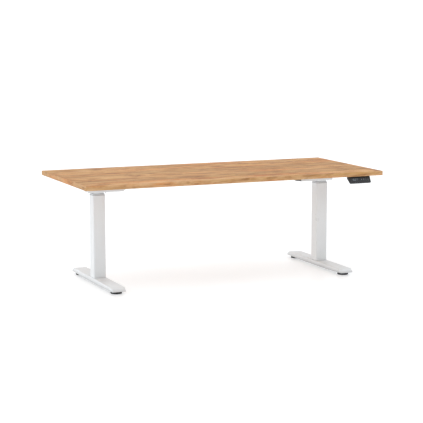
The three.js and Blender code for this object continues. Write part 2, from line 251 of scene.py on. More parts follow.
class Bench(Board):
    """A material's node tree, with the patterns that the finishes share."""

    def __init__(self, material: bpy.types.Material) -> None:
        """Clears the material's tree."""
        material.use_nodes = True
        material.node_tree.nodes.clear()
        super().__init__(material.node_tree)

    def place(self) -> Signal:
        """Returns the place on the desk, in metres."""
        return self.take("ShaderNodeTexCoord", output="Object")

    def noise(
        self, at: Signal, scale: float, detail: float = 2.0, rough: float = 0.5, warp: float = 0.0
    ) -> Signal:
        """Returns cloudy noise near 0.5: scale clouds per metre, pushed about by warp."""
        sockets = {"Vector": at, "Scale": scale, "Detail": detail, "Roughness": rough, "Distortion": warp}
        return self.take("ShaderNodeTexNoise", {"noise_dimensions": "3D"}, sockets)

    def cells(self, at: Signal, scale: float) -> Signal:
        """Returns the distance to the nearest of scattered points, scale of them per metre."""
        return self.take("ShaderNodeTexVoronoi", {"feature": "F1"}, {"Vector": at, "Scale": scale})

    def chance(self, number: Signal) -> Signal:
        """Returns a random value from 0 to 1 that belongs to a whole number."""
        return self.take("ShaderNodeTexWhiteNoise", {"noise_dimensions": "1D"}, {"W": number})

    def ease(self, value: Signal, low: float, high: float) -> Signal:
        """Returns a smooth step: 0 below low, 1 above high."""
        sockets = {"Value": value, "From Min": low, "From Max": high}
        return self.take("ShaderNodeMapRange", {"interpolation_type": "SMOOTHSTEP"}, sockets)

    def ramp(self, value: Signal, stops: Sequence[tuple[float, Colour]]) -> Signal:
        """Returns the colour that a value has between the stops."""
        return self.take("ShaderNodeValToRGB", {"stops": stops}, {"Fac": value})

    def blend(
        self, share: "Signal | float", first: "Signal | Colour", second: "Signal | Colour", mode: str = "MIX"
    ) -> Signal:
        """Returns two colours mixed, share of them the second."""
        settings = {"data_type": "RGBA", "blend_type": mode, "clamp_factor": True}
        return self.take("ShaderNodeMix", settings, {0: share, 6: first, 7: second}, 2)

    def bump(self, height: Signal, depth: float) -> Signal:
        """Returns the normals of a relief that is depth metres deep."""
        return self.take(
            "ShaderNodeBump", sockets={"Height": height, "Distance": depth, "Strength": 1.0}, output="Normal"
        )

    def close(self, sockets: dict) -> None:
        """Ends the tree in a Principled shader with these sockets."""
        shader = self.take("ShaderNodeBsdfPrincipled", sockets=sockets)
        self.node("ShaderNodeOutputMaterial", sockets={"Surface": shader})


# ---- Finishes ----


@dataclass(frozen=True)
class Finish:
    """One surface finish; its material is made when it is first used."""

    name: str

    def dress(self, bench: Bench) -> dict:
        """Returns the Principled shader's sockets."""
        raise NotImplementedError

    def material(self) -> bpy.types.Material:
        """Returns the finish's material."""
        title = "finish_" + self.name
        made = bpy.data.materials.get(title)
        if made is None:
            made = bpy.data.materials.new(title)
            bench = Bench(made)
            bench.close(self.dress(bench))
        return made


@dataclass(frozen=True)
class OakDecor(Finish):
    """Wild oak decor: staves with streaks, arched rings, pores and a few knots."""

    stave: float = 0.134
    end_band: float = 0.8978
    top_height: float = 0.607
    edge_wrap: float = 0.9
    dark: Colour = srgb(142, 95, 53)
    middle: Colour = srgb(190, 141, 90)
    light: Colour = srgb(207, 165, 117)
    knot: Colour = srgb(84, 52, 34)
    sheen: float = 0.12
    # Middle and length of each knot, metres
    knots: tuple[Spot, ...] = (
        (0.31, 0.29, 0.030),
        (0.62, 0.245, 0.022),
        (-0.47, -0.05, 0.026),
        (-0.66, 0.20, 0.016),
        (0.05, -0.23, 0.020),
    )

    def lanes(self, bench: Bench) -> tuple[Signal, Signal, Signal]:
        """Lays the decor out, lengthways on the faces and round the ends on the end bands.

        Args:
            bench: The material's tree.

        Returns:
            The place along the grain, the place across it, and the stave's number.
        """
        x, y, z = bench.split(bench.place())
        end = bench.math("ABSOLUTE", x) > self.end_band
        along = x * (1 - end) + y * end
        across = (y + z * self.edge_wrap) * (1 - end) + (z + 2.3) * end
        number = bench.math("FLOOR", across / self.stave + 30)
        return along, across, number

    def knot_marks(self, bench: Bench, along: Signal, across: Signal) -> tuple[Signal, Signal]:
        """Sums up the knots.

        Args:
            bench: The material's tree.
            along: The place along the grain.
            across: The place across it.

        Returns:
            How far the rings are pushed aside, and where the knots' dark hearts are.
        """
        push, heart = None, None
        lift = self.top_height * self.edge_wrap
        for knot_x, knot_y, length in self.knots:
            far = ((along - knot_x) / length) ** 2 + ((across - knot_y - lift) / (length * 0.42)) ** 2
            swell = 1 / (1 + far * 0.5)
            spot = 1 - bench.ease(far, 0.12, 0.42)
            push = swell if push is None else push + swell
            heart = spot if heart is None else heart + spot
        return push, heart

    def dress(self, bench: Bench) -> dict:
        """Returns the Principled shader's sockets."""
        along, across, number = self.lanes(bench)
        push, heart = self.knot_marks(bench, along, across)
        own = bench.chance(number)
        tone = bench.chance(number + 17.3)
        run = along + own * 7
        drift = bench.noise(bench.join(run * 1.3, across * 3, number * 1.7), 1, 2) - 0.5
        wander = across + drift * 0.035
        broad = bench.noise(bench.join(run * 6.4, wander * 19, number), 1, 4, 0.66, 0.9)
        streak = bench.noise(bench.join(run * 9.0, wander * 105, number), 1, 4, 0.62)
        fibre = bench.noise(bench.join(run * 13, wander * 560, own), 1, 3, 0.6)
        pore = bench.ease(bench.noise(bench.join(run * 46, wander * 1500, own * 3), 1, 1, 0.4), 0.6, 0.7)
        hills = bench.noise(bench.join(run * 0.5, wander * 5.4, number * 3.1), 1, 1.5, 0.4)
        arches = bench.math("SINE", (hills + push * 0.14) * 74) * 0.5 + 0.5
        rings = bench.ease(arches, 0.35, 1.0)
        body = broad * 0.84 + streak * 0.34 + rings * 0.09 + fibre * 0.12 - 0.175
        stops = ((0.36, self.dark), (0.5, self.middle), (0.66, self.light))
        colour = bench.ramp(body, stops)
        warmth = bench.noise(bench.join(run * 2.0, across * 11, number), 1, 3, 0.6)
        colour = bench.blend(bench.ease(warmth, 0.45, 0.7) * 0.6, colour, srgb(216, 158, 128), "SOFT_LIGHT")
        colour = bench.blend(
            bench.ease(1 - warmth, 0.5, 0.72) * 0.55, colour, srgb(182, 168, 118), "SOFT_LIGHT"
        )
        smudge = bench.ease(
            bench.noise(bench.join(run * 11, wander * 34, number * 5.3), 1, 3, 0.6), 0.58, 0.72
        )
        colour = bench.blend(smudge * 0.42, colour, srgb(134, 106, 80))
        shade = bench.join(tone * 0.2 + 0.86, tone * 0.2 + 0.86, tone * 0.2 + 0.86)
        colour = bench.blend(1.0, colour, shade, "MULTIPLY")
        colour = bench.blend(pore * 0.4, colour, self.dark)
        seam = 1 - bench.ease(bench.math("PINGPONG", across / self.stave + 30, 0.5), 0.0015, 0.005)
        colour = bench.blend(seam * 0.45, colour, self.dark)
        colour = bench.blend(heart * 0.85, colour, self.knot)
        relief = fibre * 0.5 + streak * 0.4 - pore * 0.9 - seam * 0.6
        return {
            "Base Color": colour,
            "Roughness": broad * 0.12 + pore * 0.14 + 0.46,
            "Normal": bench.bump(relief, 0.00009),
            "Specular IOR Level": self.sheen,
        }


@dataclass(frozen=True)
class PowderCoat(Finish):
    """Satin powder coat on steel: fine peel, dust nibs, shoe rubs near the floor, and painted shade that
    darkens it towards the floor.
    """

    colour: Colour = srgb(231, 233, 234)
    shade: Colour = srgb(226, 228, 229)
    # Darker colour of the shoe rubs and of the painted shade near the floor
    grime: Colour = srgb(158, 159, 160)
    rough: float = 0.29

    def dress(self, bench: Bench) -> dict:
        """Returns the Principled shader's sockets."""
        at = bench.place()
        _, _, z = bench.split(at)
        cloud = bench.noise(at, 4.0, 3, 0.55)
        peel = bench.noise(at, 760, 2, 0.55)
        nib = bench.ease(bench.noise(at, 330, 1, 0.4), 0.71, 0.76)
        low = 1 - bench.ease(z, 0.02, 0.075)
        rub = bench.ease(bench.noise(at, 34, 5, 0.7), 0.55, 0.72) * low
        # Painted shade, not dust: this mask darkens the coat smoothly over the last few centimetres above the
        # floor
        dust = 1 - bench.ease(z, 0.006, 0.035)
        hair = bench.ease(bench.noise(bench.join(z * 60, cloud * 40, peel * 0.2), 6, 2), 0.72, 0.78) * 0.2
        colour = bench.blend(bench.ease(cloud, 0.3, 0.7), self.colour, self.shade)
        colour = bench.blend(rub * 0.14 + dust * 0.7, colour, self.grime)
        colour = bench.blend(nib * 0.12, colour, srgb(205, 203, 198))
        return {
            "Base Color": colour,
            "Roughness": cloud * 0.08 + nib * 0.12 + rub * 0.2 + hair * 0.1 + (self.rough - 0.04),
            "Normal": bench.bump(peel * 0.7 + nib * 0.6 - hair, 0.00005),
            "Specular IOR Level": 0.5,
        }


@dataclass(frozen=True)
class TurnedMetal(Finish):
    """Machined metal with tool marks that follow each other along one direction."""

    colour: Colour = srgb(168, 170, 173)
    stain: Colour = srgb(118, 116, 112)
    lay: Lay = Lay.Z
    rough: float = 0.3

    def dress(self, bench: Bench) -> dict:
        """Returns the Principled shader's sockets."""
        at = bench.place()
        line = bench.split(at)[self.lay.value]
        marks = bench.noise(bench.join(line * 2600, 0.0, 0.0), 1, 2)
        cloud = bench.noise(at, 55, 4, 0.6)
        film = bench.ease(bench.noise(at, 18, 3, 0.6, 0.4), 0.5, 0.72)
        colour = bench.blend(film * 0.5, self.colour, self.stain)
        colour = bench.blend(marks * 0.18, colour, self.stain)
        return {
            "Base Color": colour,
            "Metallic": 0.97 - film * 0.12,
            "Roughness": cloud * 0.12 + film * 0.16 + marks * 0.06 + (self.rough - 0.1),
            "Normal": bench.bump(marks * 0.7 + cloud * 0.3, 0.00002),
        }


@dataclass(frozen=True)
class CastMetal(Finish):
    """Die-cast metal: a fine granular skin with flow clouds."""

    colour: Colour = srgb(176, 178, 180)
    hollow: Colour = srgb(128, 129, 131)

    def dress(self, bench: Bench) -> dict:
        """Returns the Principled shader's sockets."""
        at = bench.place()
        grain = bench.noise(at, 1500, 3, 0.6)
        flow = bench.noise(at, 42, 4, 0.6, 1.2)
        pits = 1 - bench.ease(bench.cells(at, 700), 0.05, 0.2)
        colour = bench.blend(bench.ease(flow, 0.35, 0.7), self.colour, self.hollow)
        return {
            "Base Color": bench.blend(pits * 0.3, colour, self.hollow),
            "Metallic": 0.9 - pits * 0.2,
            "Roughness": flow * 0.15 + grain * 0.1 + 0.34,
            "Normal": bench.bump(grain * 0.7 - pits * 0.5, 0.00006),
        }


@dataclass(frozen=True)
class Moulded(Finish):
    """Moulded plastic with a spark-eroded grain, rubbed smoother in places."""

    colour: Colour = srgb(44, 44, 46)
    worn: Colour = srgb(66, 66, 69)
    rough: float = 0.52
    grain: float = 1100.0
    depth: float = 0.00005

    def dress(self, bench: Bench) -> dict:
        """Returns the Principled shader's sockets."""
        at = bench.place()
        skin = bench.noise(at, self.grain, 3, 0.6)
        pebble = bench.cells(at, self.grain * 0.7)
        cloud = bench.noise(at, 26, 4, 0.6, 0.5)
        rubbed = bench.ease(cloud, 0.5, 0.74)
        dust = bench.ease(bench.noise(at, 160, 5, 0.7), 0.6, 0.72)
        colour = bench.blend(rubbed * 0.35 + dust * 0.12, self.colour, self.worn)
        return {
            "Base Color": colour,
            "Roughness": skin * 0.12 + dust * 0.1 - rubbed * 0.1 + (self.rough - 0.06),
            "Normal": bench.bump(skin * 0.5 + pebble * 0.5, self.depth),
            "Specular IOR Level": 0.45,
        }


@dataclass(frozen=True)
class Smoked(Finish):
    """A smoked display window: glossy, with faint finger marks and dust."""

    colour: Colour = srgb(20, 21, 24)

    def dress(self, bench: Bench) -> dict:
        """Returns the Principled shader's sockets."""
        at = bench.place()
        smear = bench.ease(bench.noise(at, 90, 4, 0.65, 1.5), 0.5, 0.72)
        dust = bench.ease(bench.noise(at, 900, 2, 0.5), 0.68, 0.76)
        colour = bench.blend(smear * 0.12 + dust * 0.1, self.colour, srgb(70, 72, 76))
        return {
            "Base Color": colour,
            "Roughness": smear * 0.16 + dust * 0.2 + 0.06,
            "Normal": bench.bump(smear, 0.00001),
            "Coat Weight": 0.5 - smear * 0.3,
            "Coat Roughness": 0.05,
        }


@dataclass(frozen=True)
class Lit(Finish):
    """A lit display segment, with a fine grain in its glow."""

    glow: Colour = srgb(226, 240, 255)
    power: float = 0.12

    def dress(self, bench: Bench) -> dict:
        """Returns the Principled shader's sockets."""
        at = bench.place()
        grain = bench.noise(at, 1400, 2, 0.5)
        return {
            "Base Color": bench.blend(grain * 0.3, srgb(120, 126, 134), srgb(92, 98, 106)),
            "Emission Color": bench.blend(grain * 0.25, self.glow, srgb(168, 200, 235)),
            "Emission Strength": self.power,
            "Roughness": grain * 0.2 + 0.3,
        }


OAK = OakDecor("oak_face")
# A lighter copy of the oak decor for the edge band: painted light that makes the upright edge faces as bright
# as the lit top
OAK_BAND_PAINTED_LIGHT = OakDecor(
    "oak_band", dark=srgb(158, 116, 78), middle=srgb(192, 150, 106), light=srgb(206, 168, 128)
)
WHITE = PowderCoat("white_powder_coat")
STEEL = TurnedMetal("turned_steel")
STEEL_ALONG = TurnedMetal("turned_steel_along", lay=Lay.X, rough=0.34)
ZINC = TurnedMetal("zinc_screws", colour=srgb(190, 192, 196), stain=srgb(140, 142, 146), rough=0.36)
BLACK_SCREW = TurnedMetal("blackened_screws", colour=srgb(48, 48, 50), stain=srgb(28, 28, 29), rough=0.42)
CAST = CastMetal("cast_aluminium")
BRASS = TurnedMetal("brass", colour=srgb(202, 164, 96), stain=srgb(138, 104, 58), rough=0.32)
BRONZE = TurnedMetal("wheel_bronze", colour=srgb(190, 142, 92), stain=srgb(120, 84, 52), rough=0.36)
GUIDE = Moulded(
    "guide_plastic", colour=srgb(178, 179, 181), worn=srgb(204, 205, 207), rough=0.5, depth=0.00003
)
BLACK = Moulded("black_plastic")
KEYCAP = Moulded("key_plastic", colour=srgb(60, 61, 63), worn=srgb(84, 85, 88), rough=0.56, grain=1500)
RUBBER = Moulded(
    "pad_rubber", colour=srgb(24, 24, 24), worn=srgb(72, 70, 66), rough=0.84, grain=520, depth=0.0001
)
JACKET = Moulded(
    "lead_jacket", colour=srgb(22, 22, 23), worn=srgb(46, 46, 48), rough=0.48, grain=420, depth=0.00003
)
GLASS = Smoked("display_window")
DIGITS = Lit("display_digits")
LEGEND = Moulded("legend_ink", colour=srgb(168, 170, 173), worn=srgb(140, 142, 146), rough=0.6, grain=900)
GREEN_LAMP = Lit("ready_lamp", glow=srgb(120, 235, 130), power=1.6)


# ---- Shapes ----


def arc_steps(radius: float) -> int:
    """Returns how many steps a quarter turn of this radius in millimetres gets."""
    return max(2, min(8, int(round(radius * 1.2)) + 1))


def rounded(points: Sequence[Sequence[float]], radius: float, steps: int = 3, closed: bool = True) -> Outline:
    """Rounds an outline's corners.

    Args:
        points: The corners.
        radius: How far from each corner its arc starts, at most.
        steps: Segments of each arc.
        closed: Whether the last point joins the first.

    Returns:
        The rounded outline.
    """
    corners = [Vector(point) for point in points]
    count = len(corners)
    done: list[Vector] = []
    for i, corner in enumerate(corners):
        if not closed and i in (0, count - 1):
            done.append(corner)
            continue
        back = corners[i - 1] - corner
        ahead = corners[(i + 1) % count] - corner
        reach = min(radius, back.length * 0.45, ahead.length * 0.45)
        start, end = corner + back.normalized() * reach, corner + ahead.normalized() * reach
        for k in range(steps + 1):
            t = k / steps
            done.append(start * (1 - t) ** 2 + corner * 2 * t * (1 - t) + end * t**2)
    return [tuple(point) for point in done]


def inset(outline: Outline, amount: float) -> Outline:
    """Draws an outline in, or out where the amount is negative.

    Args:
        outline: A closed outline.
        amount: How far each side moves inward.

    Returns:
        The new outline, with as many points.
    """
    area = sum(a[0] * b[1] - b[0] * a[1] for a, b in zip(outline, outline[1:] + outline[:1]))
    hand = 1 if area > 0 else -1
    moved = []
    for i, point in enumerate(outline):
        before, after = Vector(outline[i - 1]), Vector(outline[(i + 1) % len(outline)])
        here = Vector(point)
        first, second = (here - before), (after - here)
        first = first.normalized() if first.length > 1e-6 else second.normalized()
        second = second.normalized() if second.length > 1e-6 else first
        normals = [Vector((-side.y, side.x)) * hand for side in (first, second)]
        middle = (normals[0] + normals[1]).normalized()
        stretch = 1 / max(0.35, middle.dot(normals[0]))
        moved.append(tuple(here + middle * amount * stretch))
    return moved


def square_loop(half_x: float, half_y: float, corner: float, z: float, steps: int = 6, fill: int = 0) -> Loop:
    """Draws a rounded rectangle round the Z axis.

    Args:
        half_x: Half its length along X.
        half_y: Half its length along Y.
        corner: Its corner radius.
        z: Its height.
        steps: Segments of each corner.
        fill: Extra points on each of the sides that run along Y.

    Returns:
        The loop, anticlockwise from above.
    """
    corner = max(corner, 1e-4)
    loop: Loop = []
    for quarter, (sign_x, sign_y) in enumerate([(1, -1), (1, 1), (-1, 1), (-1, -1)]):
        for k in range(steps + 1):
            angle = (quarter - 1 + k / steps) * TURN / 4
            x = sign_x * (half_x - corner) + corner * math.cos(angle)
            y = sign_y * (half_y - corner) + corner * math.sin(angle)
            loop.append(Vector((x, y, z)))
        if quarter in (0, 2):
            straight = half_y - corner
            for k in range(fill):
                y = sign_y * straight * (1 - 2 * (k + 1) / (fill + 1))
                loop.append(Vector((sign_x * half_x, y, z)))
    return loop


def round_loop(radius: float, z: float, count: int) -> Loop:
    """Returns a circle round the Z axis."""
    return [
        Vector((radius * math.cos(TURN * k / count), radius * math.sin(TURN * k / count), z))
        for k in range(count)
    ]


def eased(low: float, high: float, amount: float, steps: int = 3) -> list[tuple[float, float]]:
    """Lists the heights of a bar whose two ends are rounded.

    Args:
        low: Its lower end.
        high: Its upper end.
        amount: The radius at the ends.
        steps: Segments of each rounding.

    Returns:
        (height, how far the side is drawn in) pairs, from low to high.
    """
    angles = [TURN / 4 * k / steps for k in range(steps + 1)]
    ends = [(amount * (1 - math.sin(a)), amount * (1 - math.cos(a))) for a in angles]
    foot = [(low + drop, draw) for drop, draw in ends]
    head = [(high - drop, draw) for drop, draw in ends]
    return sorted(foot) + sorted(head)


def shift(x: float, y: float, z: float = 0.0) -> Matrix:
    """Returns a plain move."""
    return Matrix.Translation((x, y, z))


def oblong(x: float, y: float, half_x: float, half_y: float) -> Outline:
    """Returns the corners of a rectangle round a point, anticlockwise."""
    low, high = (x - half_x, y - half_y), (x + half_x, y + half_y)
    return [low, (high[0], low[1]), high, (low[0], high[1])]


def stands(places: Iterable[Spot], axis: Spot = DOWN, along: Spot = EAST) -> list[Stand]:
    """Gives places that a part is repeated on the ways its Z and X point."""
    return [(place, axis, along) for place in places]


def linked(name: str, data: bpy.types.ID) -> bpy.types.Object:
    """Makes an object of some data and links it to the scene.

    Args:
        name: Its name.
        data: Its mesh, curve, camera or light.

    Returns:
        The object.
    """
    made = bpy.data.objects.new(name, data)
    bpy.context.scene.collection.objects.link(made)
    return made


def settled(holder: bpy.types.Object) -> bpy.types.Mesh:
    """Turns an object with its modifiers into a plain mesh.

    Args:
        holder: The object, which is used up.

    Returns:
        The mesh.
    """
    bpy.context.view_layer.update()
    graph = bpy.context.evaluated_depsgraph_get()
    final = holder.evaluated_get(graph)
    made = bpy.data.meshes.new_from_object(final, preserve_all_data_layers=True, depsgraph=graph)
    holder.modifiers.clear()
    bpy.data.objects.remove(holder)
    return made


class Shape:
    """A mesh in the making, in millimetres."""

    def __init__(self) -> None:
        """Starts empty."""
        self.mesh = bmesh.new()

    def absorb(self, part: bmesh.types.BMesh, place: Matrix = HERE) -> None:
        """Cleans one closed part, faces it outward and adds it.

        Args:
            part: The part, which is used up.
            place: Where it goes.
        """
        bmesh.ops.remove_doubles(part, verts=part.verts, dist=2e-4)
        bmesh.ops.dissolve_degenerate(part, edges=part.edges, dist=1e-4)
        bmesh.ops.recalc_face_normals(part, faces=part.faces)
        data = bpy.data.meshes.new("part")
        part.to_mesh(data)
        part.free()
        data.transform(place)
        self.mesh.from_mesh(data)
        bpy.data.meshes.remove(data)

    def stack(self, loops: Sequence[Loop], ring: bool = False, place: Matrix = HERE) -> "Shape":
        """Skins a row of loops that have the same number of points.

        Args:
            loops: The loops, in order.
            ring: Whether the last loop joins the first; otherwise the two ends are capped.
            place: Where the part goes.

        Returns:
            This shape.
        """
        part = bmesh.new()
        rows = [[part.verts.new(point) for point in loop] for loop in loops]
        count = len(rows[0])
        for low, high in zip(rows, rows[1:] + (rows[:1] if ring else [])):
            for k in range(count):
                part.faces.new((low[k], low[(k + 1) % count], high[(k + 1) % count], high[k]))
        if not ring:
            for row in (rows[0][::-1], rows[-1]):
                if max((vert.co - row[0].co).length for vert in row) > 1e-3:
                    part.faces.new(row)
        self.absorb(part, place)
        return self

    def turned(
        self, profile: Sequence[Sequence[float]], count: int = 48, ring: bool = False, place: Matrix = HERE
    ) -> "Shape":
        """Turns a (radius, height) profile round Z; a ring's profile is closed."""
        return self.stack([round_loop(max(radius, 0.0), z, count) for radius, z in profile], ring, place)

    def block(
        self, low: Spot, high: Spot, ease: float = 0.6, corner: float | None = None, place: Matrix = HERE
    ) -> "Shape":
        """Adds a block with rounded edges.

        Args:
            low: Its lowest corner.
            high: Its highest corner.
            ease: The radius of its upper and lower edges.
            corner: The radius of its upright edges; the same as ease by default.
            place: Where the part goes.

        Returns:
            This shape.
        """
        low, high = Vector(low), Vector(high)
        corner = ease if corner is None else corner
        half, middle = (high - low) / 2, (high + low) / 2
        steps = arc_steps(corner)
        loops = []
        for z, draw in eased(low.z, high.z, ease, 3):
            loop = square_loop(half.x - draw, half.y - draw, corner - draw, z, steps)
            loops.append([point + Vector((middle.x, middle.y, 0)) for point in loop])
        return self.stack(loops, place=place)

    def prism(
        self, outline: Outline, low: float, high: float, ease: float = 0.0, place: Matrix = HERE
    ) -> "Shape":
        """Draws an outline out along Z, with rounded ends.

        Args:
            outline: The closed outline.
            low: Where it starts.
            high: Where it ends.
            ease: The radius of its end edges.
            place: Where the part goes.

        Returns:
            This shape.
        """
        levels = eased(low, high, ease) if ease else [(low, 0.0), (high, 0.0)]
        loops = [
            [Vector((x, y, z)) for x, y in (inset(outline, draw) if draw else outline)] for z, draw in levels
        ]
        return self.stack(loops, place=place)

    def folded(
        self, panels: Sequence[Sequence[Spot]], sheet: float, bend: float, place: Matrix = HERE
    ) -> "Shape":
        """Folds sheet metal whose outer skin is given.

        Args:
            panels: The outer skin's panels, which share corners where the sheet is bent.
            sheet: The sheet's thickness.
            bend: The outer radius of the bends.
            place: Where the part goes.

        Returns:
            This shape.
        """
        skin = bmesh.new()
        for panel in panels:
            skin.faces.new([skin.verts.new(point) for point in panel])
        bmesh.ops.remove_doubles(skin, verts=skin.verts, dist=1e-3)
        bmesh.ops.recalc_face_normals(skin, faces=skin.faces)
        folds = [e for e in skin.edges if len(e.link_faces) == 2 and e.calc_face_angle(0) > 0.3]
        bmesh.ops.bevel(skin, geom=folds, offset=bend, segments=4, profile=0.5, affect="EDGES")
        bmesh.ops.recalc_face_normals(skin, faces=skin.faces)
        reach = [Vector(map(f, *[v.co for v in skin.verts])) for f in (min, max)]
        body = self.thickened(skin, sheet, reach)
        self.absorb(body, place)
        return self

    def thickened(self, skin: bmesh.types.BMesh, sheet: float, reach: list[Vector]) -> bmesh.types.BMesh:
        """Gives an outer skin its thickness, always inward.

        Args:
            skin: The skin, which is used up.
            sheet: The thickness.
            reach: The skin's lowest and highest corners, which the sheet stays inside.

        Returns:
            The solid sheet.
        """
        data = bpy.data.meshes.new("skin")
        skin.to_mesh(data)
        skin.free()
        for _ in range(2):
            solid = self.modified(data, "SOLIDIFY", thickness=sheet, offset=-1.0, use_even_offset=True)
            found = [Vector(map(f, *[v.co for v in solid.vertices])) for f in (min, max)]
            if (found[0] - reach[0]).length + (found[1] - reach[1]).length < sheet * 0.2:
                break
            data.flip_normals()
        body = bmesh.new()
        body.from_mesh(solid)
        rims = [e for e in body.edges if e.calc_face_angle(0) > 1.2]
        bmesh.ops.bevel(
            body, geom=rims, offset=0.35, segments=2, profile=0.5, affect="EDGES", clamp_overlap=True
        )
        return body

    @staticmethod
    def modified(data: bpy.types.Mesh, kind: str, **settings: object) -> bpy.types.Mesh:
        """Runs one modifier on a mesh.

        Args:
            data: The mesh, which is kept.
            kind: The modifier's type.
            **settings: The modifier's settings.

        Returns:
            The new mesh.
        """
        holder = linked("workpiece", data)
        modifier = holder.modifiers.new("work", kind)
        for name, value in settings.items():
            setattr(modifier, name, value)
        return settled(holder)

    def rod(self, radius: float, low: float, high: float, count: int = 32, place: Matrix = HERE) -> "Shape":
        """Adds a plain rod, mostly to drill with."""
        return self.turned([(0, low), (radius, low), (radius, high), (0, high)], count, place=place)

    def add(self, work: "Shape | bpy.types.Mesh") -> "Shape":
        """Adds another shape, or a mesh from a tree, as it is."""
        self.mesh.from_mesh(work.baked() if isinstance(work, Shape) else work)
        return self

    def baked(self) -> bpy.types.Mesh:
        """Returns a copy of the shape so far as a plain mesh, still in millimetres."""
        data = bpy.data.meshes.new("shape")
        self.mesh.to_mesh(data)
        return data

    def cut(self, tool: "Shape", crossing: bool = False) -> "Shape":
        """Cuts another shape's space out of this one.

        Args:
            tool: What is cut away.
            crossing: Whether the tool's parts run through each other.

        Returns:
            This shape.
        """
        cutter = linked("cutter", tool.baked())
        made = self.modified(
            self.baked(), "BOOLEAN", operation="DIFFERENCE", object=cutter, solver="EXACT", use_self=crossing
        )
        bpy.data.objects.remove(cutter)
        self.mesh.free()
        self.mesh = bmesh.new()
        self.mesh.from_mesh(made)
        return self


# ---- Geometry trees ----


class ShapeTree(Board):
    """A geometry tree with named inputs, run once on a carrier and left as a plain mesh."""

    INPUTS: dict[str, str] = {}

    def __init__(self, title: str) -> None:
        """Makes the tree's inputs and draws its nodes."""
        tree = bpy.data.node_groups.new(title, "GeometryNodeTree")
        super().__init__(tree)
        tree.interface.new_socket("Geometry", in_out="INPUT", socket_type="NodeSocketGeometry")
        kinds = {**self.INPUTS, "Finish": "NodeSocketMaterial"}
        self.keys = {
            name: tree.interface.new_socket(name, in_out="INPUT", socket_type=kind).identifier
            for name, kind in kinds.items()
        }
        tree.interface.new_socket("Geometry", in_out="OUTPUT", socket_type="NodeSocketGeometry")
        self.source = tree.nodes.new("NodeGroupInput")
        painted = self.take(
            "GeometryNodeSetMaterial",
            sockets={
                "Geometry": self.take("GeometryNodeRealizeInstances", sockets={"Geometry": self.draw()}),
                "Material": self.given("Finish"),
            },
        )
        result = tree.nodes.new("NodeGroupOutput")
        tree.links.new(painted.socket, result.inputs["Geometry"])

    def draw(self) -> Signal:
        """Draws the tree and returns its geometry."""
        raise NotImplementedError

    def given(self, name: str) -> Signal:
        """Returns one of the tree's inputs."""
        return Signal(self, self.source.outputs[name])

    def run(self, carrier: bpy.types.Mesh, finish: Finish, **values: object) -> bpy.types.Mesh:
        """Runs the tree.

        Args:
            carrier: The mesh whose points or edges it works on.
            finish: The finish of what it makes.
            **values: Its inputs by name.

        Returns:
            The result, a plain mesh in millimetres.
        """
        holder = linked("workpiece", carrier)
        modifier = holder.modifiers.new("shape", "NODES")
        modifier.node_group = self.tree
        for name, value in {**values, "Finish": finish.material()}.items():
            modifier[self.keys[name]] = value
        made = settled(holder)
        part = bmesh.new()
        part.from_mesh(made)
        bmesh.ops.remove_doubles(part, verts=part.verts, dist=2e-4)
        bmesh.ops.recalc_face_normals(part, faces=part.faces)
        part.to_mesh(made)
        part.free()
        for name in ("axis", "along"):
            if name in made.attributes:
                made.attributes.remove(made.attributes[name])
        return made


class RowTree(ShapeTree):
    """Repeats one part on points, each of which says where the part's Z and X point."""

    INPUTS = {"Part": "NodeSocketObject", "Size": "NodeSocketFloat"}

    def draw(self) -> Signal:
        """Draws the tree and returns its geometry."""
        points = self.take("GeometryNodeMeshToPoints", sockets={"Mesh": self.given("Geometry")})
        part = self.take(
            "GeometryNodeObjectInfo", {"transform_space": "ORIGINAL"}, {"Object": self.given("Part")},
            "Geometry",
        )
        turn = None
        for axis, name, pivot in (("Z", "axis", "AUTO"), ("X", "along", "Z")):
            way = self.take("GeometryNodeInputNamedAttribute", {"data_type": "FLOAT_VECTOR"}, {"Name": name})
            sockets = {"Vector": way} if turn is None else {"Vector": way, "Rotation": turn}
            turn = self.take(
                "FunctionNodeAlignRotationToVector", {"axis": axis, "pivot_axis": pivot}, sockets
            )
        size = self.given("Size")
        sockets = {"Points": points, "Instance": part, "Rotation": turn, "Scale": self.join(size, size, size)}
        return self.take("GeometryNodeInstanceOnPoints", sockets=sockets)


class ThreadTree(ShapeTree):
    """A threaded rod round Z: a sheet rolled up, whose radius rises and falls with the thread."""

    INPUTS = {
        "Length": "NodeSocketFloat",
        "Root": "NodeSocketFloat",
        "Depth": "NodeSocketFloat",
        "Lead": "NodeSocketFloat",
        "Starts": "NodeSocketFloat",
        "Bore": "NodeSocketFloat",
        "Around": "NodeSocketInt",
        "Rows": "NodeSocketInt",
    }

    def draw(self) -> Signal:
        """Draws the tree and returns its geometry."""
        length, bore, rows = self.given("Length"), self.given("Bore"), self.given("Rows")
        sockets = {"Size X": 1.0, "Size Y": 1.0, "Vertices X": self.given("Around") + 1, "Vertices Y": rows}
        sheet = self.take("GeometryNodeMeshGrid", sockets=sockets)
        x, y, _ = self.split(self.take("GeometryNodeInputPosition"))
        row = self.math("ROUND", (y + 0.5) * (rows - 1))
        z = self.math("ADD", (row - 1) / (rows - 4), 0.0, clamp=True) * length
        last = row > rows - 1.5
        skin = (row > 0.5) * (row < rows - 2.5)
        angle = (x + 0.5) * TURN
        wave = self.math("COSINE", self.given("Starts") * (angle - z / self.given("Lead") * TURN))
        crest = self.math("ADD", wave * 1.1, 0.5, clamp=True)
        near = self.math("MINIMUM", z, length - z) / self.given("Depth") * 0.6
        radius = self.given("Root") + self.given("Depth") * crest * self.math("ADD", near, 0.0, clamp=True)
        radius = radius * skin + bore * (1 - skin)
        z = z * (1 - last * (bore > 0.0))
        spot = self.join(radius * self.math("COSINE", angle), radius * self.math("SINE", angle), z)
        rolled = self.take("GeometryNodeSetPosition", sockets={"Geometry": sheet, "Position": spot})
        return self.take("GeometryNodeMergeByDistance", sockets={"Geometry": rolled, "Distance": 1e-4})


